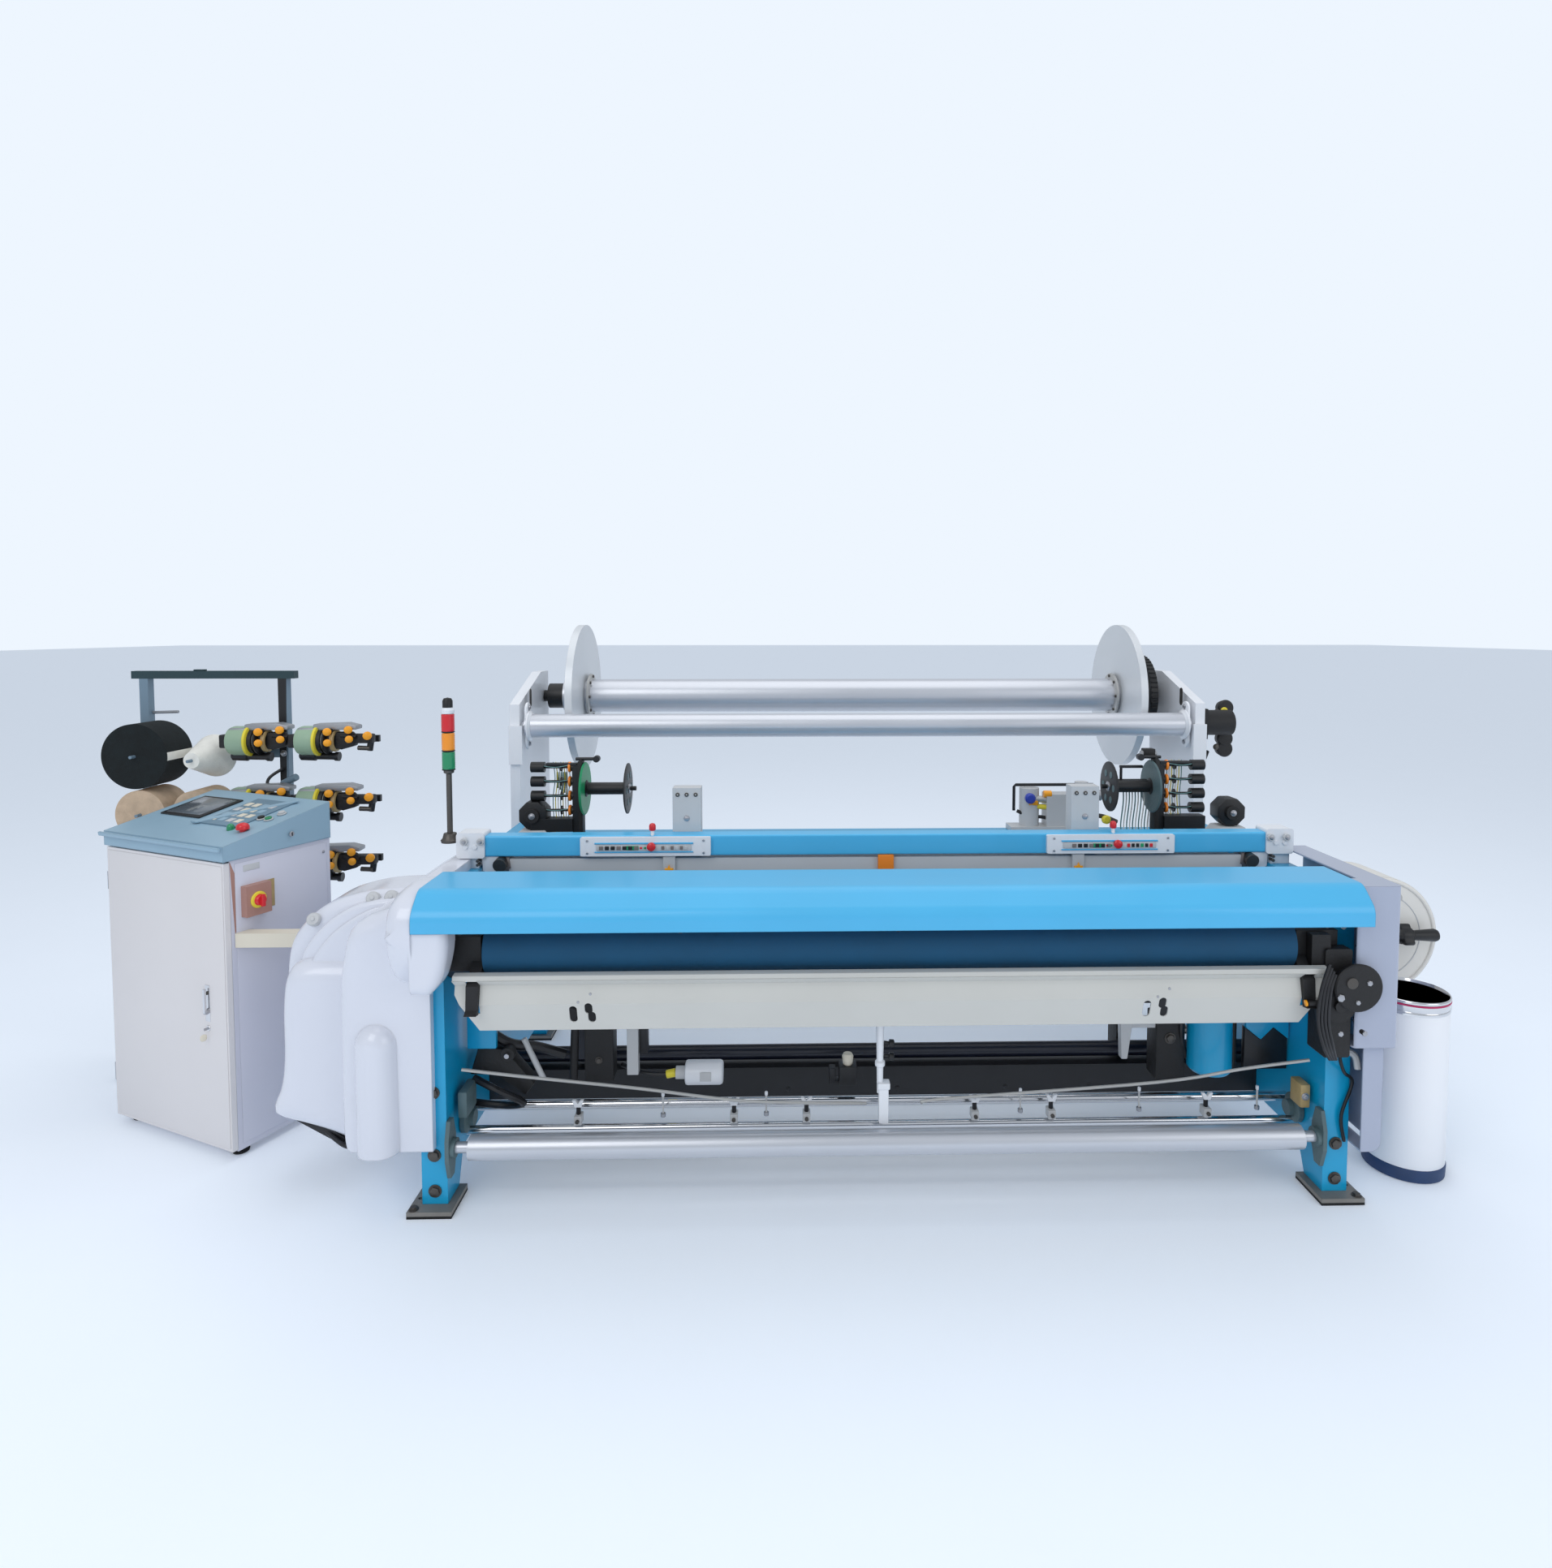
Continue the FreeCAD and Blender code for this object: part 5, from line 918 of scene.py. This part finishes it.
def turned_pieces():
    """The signal lamp, the waste can, the lobed hand crank, and the trim of the right covers and gearbox."""
    lamp = Piece("signal_lamp", "black_plastic")
    x, y = -1411, -240
    lamp.lathe((x, y, 1012), UP, [(0, 28), (8, 30), (14, 24), (30, 20), (32, 9), (226, 9), (230, 16),
        (240, 17)], DARK_STEEL)
    for low, made in ((1254, GREEN_LENS), (1316, AMBER), (1378, RED)):
        lamp.lathe((x, y, low - 4), UP, [(0, 17), (1, 21), (4, 21), (5, 17)], PLASTIC)
        lamp.lathe((x, y, low), UP, [(0, 19)] + [(3 + 3.4 * k, 21 if k % 2 else 20)
            for k in range(16)] + [(57, 19)], made)
    lamp.lathe((x, y, 1436), UP, [(0, 20), (12, 21), (18, 17), (20, 17)], WHITE)
    lamp.lathe((x, y, 1456), UP, [(0, 16), (22, 16), (30, 12), (33, 0)], PLASTIC)
    lamp.tube([(x + 20, y, 1020), (x + 36, y + 10, 1034), (x + 30, y + 20, 1000), (x + 26, y + 40, 960)], 4,
        BLACK)
    lamp.done("stack_light")

    low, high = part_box("waste_can")
    can = Piece("lint_can", "can_white")
    x, y = (low.x + high.x) / 2 / MM, (low.y + high.y) / 2 / MM
    can.lathe((x, y, 0), UP, [(0, 105), (2, 113), (38, 115), (42, 112)], CAN_BLUE, sides=CAN_SIDES)
    can.lathe((x, y, 40), UP, [(0, 111), (2, 112.5), (486, 112.5), (488, 112)], CAN, sides=CAN_SIDES)
    can.lathe((x, y, 524), UP, [(0, 111), (1, 114), (10, 114.4), (12, 113), (14, 114.4), (30, 114.4),
        (31, 113)], CHROME, sides=CAN_SIDES)
    can.lathe((x, y, 554), UP, [(0, 112), (1, 115), (5, 115), (6, 112)], MAGENTA, sides=CAN_SIDES)
    can.lathe((x, y, 560), UP, [(0, 112), (1, 114.4), (6, 115), (9, 113.5), (10, 111), (8, 109),
        (-22, 108.5)], CHROME, sides=CAN_SIDES)
    can.lathe((x, y, 539), UP, [(0, 110), (0, 108.6), (-500, 108), (-501, 0)], CAN, sides=CAN_SIDES)
    can.done("waste_can", angle=50)

    crank = Piece("crank_knob", "black_plastic", "hand_crank")
    low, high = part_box("hand_crank")
    reach, z = high.x / MM, (low.z + high.z) / 2 / MM
    crank.rod((1336, CRANK_Y, z), (reach - 20, CRANK_Y, z), 12, STEEL)
    lobes = []
    for k in range(48):
        angle = 2 * pi * k / 48
        spoke = 28 + 12 * max(0, cos(3 * (angle - pi / 2))) ** 2
        lobes.append((CRANK_Y + spoke * cos(angle), z + spoke * sin(angle)))
    crank.prism(lobes, "x", reach - 130, reach - 96, PLASTIC, 5)
    crank.lathe((reach - 140, CRANK_Y, z), RIGHT, [(0, 20), (10, 26), (48, 26), (52, 20), (56, 16),
        (74, 17), (128, 21), (136, 18), (139, 10), (139, 0)], PLASTIC)
    crank.done("hand_crank")

    low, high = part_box("right_rapier_cover")
    disc = Piece("right_drum_trim", "white_moulding")
    radius = (high.z - low.z) / 2 / MM
    x, y, z = high.x / MM - radius, low.y / MM, (low.z + high.z) / 2 / MM
    disc.lathe((x + 62, y, z + 128), FRONT, [(0, 15), (3, 15), (5, 12), (5, 6), (2, 5), (2, 0)], ALLOY)
    for part, thick, made in ((0.72, 2.5, PALE), (0.955, 7, IVORY)):
        rim = [(x + radius * part * cos(k * pi / 24 - 2), y + 1, z + radius * part * sin(k * pi / 24 - 2))
            for k in range(49)]
        disc.tube(rim, thick, made, smooth=False)
    disc.done()

    front = Piece("right_cover_trim", "lavender_grey")
    front.box((1384, -613, 770), (1458, -610, 773), DARK_STEEL, 0)
    front.rod((1345, -611, 830), (1345, -616, 830), 8, WHITE)
    front.rod((1448, -611, 690), (1448, -615, 690), 6, PALE)
    front.lathe((1322, -724, 690), FRONT, [(-10, 66), (4, 70), (8, 66), (10, 0)], CAST, sides=40)
    front.lathe((1300, GEARBOX_FACE, 706), FRONT, [(0, 16), (4, 16), (5, 8), (5, 0)], DARK_STEEL)
    for x, z, r in ((1350, 706, 8), (1268, 664, 11), (1318, 650, 7), (1270, 560, 8), (1340, 560, 8)):
        front.hexagon((x, GEARBOX_FACE, z), FRONT, r, 5, STEEL, washer=False)
    front.rod((1340, -718, 560), (1340, -734, 560), 7, DARK_STEEL)
    for n in range(4):
        front.tube([(1236 + 6 * n, -728, 760 - 10 * n), (1206 + 9 * n, -742, 690),
            (1200 + 10 * n, -740, 600), (1226 + 9 * n, -728, 520), (1262 + 6 * n, -700, 470)], 5, BLACK, 8)
    front.rod((1180, -724, 646), (1222, -732, 650), 8, CAST)
    front.rod((1178, -722, 646), (1172, -721, 645), 9, ORANGE)
    front.done()


turned_pieces()


# ---------------------------------------------------------------- control cabinet
CABINET_CORNER = (-2077, -329, 0)
CABINET_TURN = -25                # degrees
DESK_PLACE, DESK_SLOPE = (0, -24, 1026), atan2(79, 389)


def cabinet_details():
    """The cabinet's screen, keys, switch, lock, hinges, panels and feet, laid out in its own turned frame."""
    turned = Matrix.Rotation(radians(CABINET_TURN), 4, "Z")
    turn = Matrix.Translation(CABINET_CORNER) @ turned
    top = turn @ Matrix.Translation(DESK_PLACE) @ Matrix.Rotation(DESK_SLOPE, 4, "X")
    across, side_way = turn.to_3x3() @ Vector((0, -1, 0)), turn.to_3x3() @ Vector((1, 0, 0))
    lift = top.to_3x3() @ Vector((0, 0, 1))

    def at(x, y, z):
        """A point of the cabinet's own frame."""
        return turn @ Vector((x, y, z))

    desk = Piece("desk_trim", "desk_blue")
    desk.box((-556, 160, -1), (-346, 326, 5), PLASTIC, 3, top)
    desk.box((-540, 174, 4), (-362, 312, 6.5), SCREEN, 1, top)
    # The keypad field takes the darker copy of the desk colour: painted shade.
    desk.box((-300, 130, -1), (-110, 350, 4), DESK_RECESS_SHADE, 3, top)
    for row in range(4):
        for column in range(4):
            x, y = -286 + column * 40, 156 + row * 42
            desk.box((x, y, 3), (x + 26, y + 26, 6), (BEIGE, DESK, PALE, BEIGE)[(row + column) % 4], 2, top)
    desk.prism([(-330, 120), (-300, 120), (-96, 356), (-116, 366)], "z", 2, 9, DESK, 3, top)
    for x, y, made in ((-96, 210, PLASTIC), (-60, 210, GREEN_LENS), (-60, 260, PALE)):
        desk.rod(top @ Vector((x, y, 0)), top @ Vector((x, y, 4)), 15, PALE)
        desk.rod(top @ Vector((x, y, 4)), top @ Vector((x, y, 10)), 11, made)
    desk.box((-606, -20, -12), (12, -12, 2), DESK, 3, top)
    desk.rod(at(12, 210, 1020), at(16, 210, 1020), 9, STEEL)
    desk.box((15, 208, 1014), (17, 212, 1026), PLASTIC, 0.5, turn)
    desk.done()

    body = Piece("cabinet_trim", "cabinet_paint")
    # The side plate takes the same painted shade as the cabinet's side.
    body.box((0, 16, 44), (1.6, 350, 962), CABINET_SHADED_SIDE, 1, turn)
    body.box((1, 66, 792), (3.2, 150, 884), TAN, 1.5, turn)
    body.box((1.4, 44, 930), (2.6, 100, 950), PALE, 0.6, turn)
    for z in (80, 500, 930):
        body.hexagon(at(1.5, 338, z), side_way, 5, 3, STEEL, washer=False)
    for x in (-560, -40):
        for y in (36, 330):
            body.lathe(at(x, y, 0), UP, [(0, 24), (6, 26), (10, 20), (12, 10), (26, 10)], RUBBER)
    for n in range(7):
        body.box((-480, 366, 180 + 16 * n), (-120, 369, 188 + 16 * n), DARK_STEEL, 1, turn)
    body.done()

    door = Piece("door_trim", "cabinet_paint", "cabinet_door")
    door.box((-592, -20, 40), (-8, -18.4, 960), CABINET, 1.2, turn)
    for z in (150, 820):
        door.rod(at(-604, -12, z), at(-604, -12, z + 62), 6, STEEL)
    door.rod(at(-96, -18, 424), at(-96, -23, 424), 9, CHROME)
    door.box((-97.5, -36, 420), (-94.5, -22, 428), STEEL, 0.8, turn)
    door.lathe(at(-96, -38, 410), DOWN, [(0, 2), (4, 9), (16, 10), (22, 6)], BEIGE, 14, 0.3)
    door.done()

    handle = Piece("lock_handle", "bare_steel", "door_handle")
    handle.box((-107, -21.8, 446), (-85, -18.6, 566), CHROME, 2, turn)
    handle.box((-101, -35, 476), (-91, -27, 556), CHROME, 3, turn)
    handle.lathe(at(-96, -21, 480), across, [(0, 9), (8, 9), (12, 7), (12, 0)], STEEL)
    handle.lathe(at(-96, -21, 540), across, [(0, 6), (5, 6), (6, 4)], DARK_STEEL)
    handle.done("door_handle")

    low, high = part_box("main_switch")
    switch = Piece("main_switch_lever", "red_plastic", "main_switch")
    middle = (low + high) / 2 / MM
    base = middle + side_way * 3
    switch.lathe(base, side_way, [(-8, 27), (0, 27), (3, 25), (4, 18)], YELLOW)
    switch.lathe(base, side_way, [(2, 19), (14, 17), (16, 15), (16, 0)], RED)
    grip = Matrix.Translation(base + side_way * 14) @ turned
    switch.box((0, -6, -20), (12, 6, 20), RED, 3, grip)
    switch.done("main_switch")

    for node, slot, made, big in (("emergency_stop", "red_plastic", RED, 20),
            ("start_button", "green_plastic", GREEN_LENS, 12)):
        low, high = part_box(node)
        foot = Vector(((low.x + high.x) / 2 / MM, (low.y + high.y) / 2 / MM, high.z / MM))
        button = Piece(f"{node}_cap", slot, node)
        button.lathe(foot - Vector((0, 0, 36)), UP, [(-30, big * 0.5), (12, big * 0.5), (14, big),
            (24, big), (31, big * 0.8), (35, big * 0.4), (36, 0)], made)
        button.lathe(foot - Vector((0, 0, 34)), lift, [(-8, big), (3, big), (5, big * 0.7)],
            YELLOW if big > 15 else PALE)
        button.done(node)


cabinet_details()


# ---------------------------------------------------------------- floor, light and camera
FLOOR_HALF, FLOOR_FRONT, FLOOR_BACK, FLOOR_DROP = 60, -30, 90, -0.0005     # metres
FLOOR_GLOW, SKY_STRENGTH = 0.13, 0.66
LIGHTS = (
    # name, place, point it faces, size in metres, power in watts
    ("key", (-3.5, -6.0, 5.5), (0, 0, 0.6), 4.5, 130),
    ("fill", (5.0, -5.0, 3.2), (0.5, 0, 0.7), 3.5, 55),
    ("top", (0, 0.5, 5.5), (0, 0, 0.8), 5.0, 80),
)
CAMERA_PLACE, CAMERA_TILT, CAMERA_TURN = (-0.320, -3.259, 1.7146), 87, -1.3648
SENSOR_WIDTH, FOCAL_LENGTH, SHIFT_X, SHIFT_Y = 36, 21.106, -0.01767, -0.06865


def studio():
    """A pale floor and backdrop, soft lights and the camera."""
    floor_mesh = bpy.data.meshes.new("floor")
    corners = [(x, y, FLOOR_DROP) for x, y in ((-FLOOR_HALF, FLOOR_FRONT), (FLOOR_HALF, FLOOR_FRONT),
        (FLOOR_HALF, FLOOR_BACK), (-FLOOR_HALF, FLOOR_BACK))]
    floor_mesh.from_pydata(corners, [], [(0, 1, 2, 3)])
    floor = bpy.data.objects.new("floor", floor_mesh)
    bpy.context.scene.collection.objects.link(floor)
    pale = material("pale_floor", (238, 244, 252), 0.9, mottle=0.004, grain=0.0, soft=0)
    glow = pale.node_tree.nodes["Principled BSDF"]
    give(glow, Emission_Color=srgb(238, 246, 255), Emission_Strength=FLOOR_GLOW)
    floor_mesh.materials.append(pale)
    world = bpy.data.worlds.new("studio")
    world.use_nodes = True
    nodes, links = world.node_tree.nodes, world.node_tree.links
    sky = nodes["Background"]
    give(sky, Color=srgb(236, 244, 254), Strength=SKY_STRENGTH)
    seen = nodes.new("ShaderNodeBackground")
    give(seen, Color=srgb(238, 246, 255))
    ray = nodes.new("ShaderNodeLightPath")
    both = nodes.new("ShaderNodeMixShader")
    links.new(ray.outputs["Is Camera Ray"], both.inputs[0])
    links.new(sky.outputs[0], both.inputs[1])
    links.new(seen.outputs[0], both.inputs[2])
    links.new(both.outputs[0], nodes["World Output"].inputs["Surface"])
    bpy.context.scene.world = world
    for name, spot, aim, size, power in LIGHTS:
        data = bpy.data.lights.new(name, "AREA")
        data.size = size
        data.energy = power
        light = bpy.data.objects.new(name, data)
        light.location = spot
        light.rotation_euler = (Vector(aim) - Vector(spot)).to_track_quat("-Z", "Y").to_euler()
        bpy.context.scene.collection.objects.link(light)
    lens = bpy.data.cameras.new("camera")
    lens.sensor_width = SENSOR_WIDTH
    lens.lens = FOCAL_LENGTH
    lens.shift_x = SHIFT_X
    lens.shift_y = SHIFT_Y
    camera = bpy.data.objects.new("camera", lens)
    camera.location = CAMERA_PLACE
    camera.rotation_euler = (radians(CAMERA_TILT), 0, radians(CAMERA_TURN))
    bpy.context.scene.collection.objects.link(camera)
    bpy.context.scene.camera = camera
    bpy.context.scene.view_settings.view_transform = "Standard"


studio()
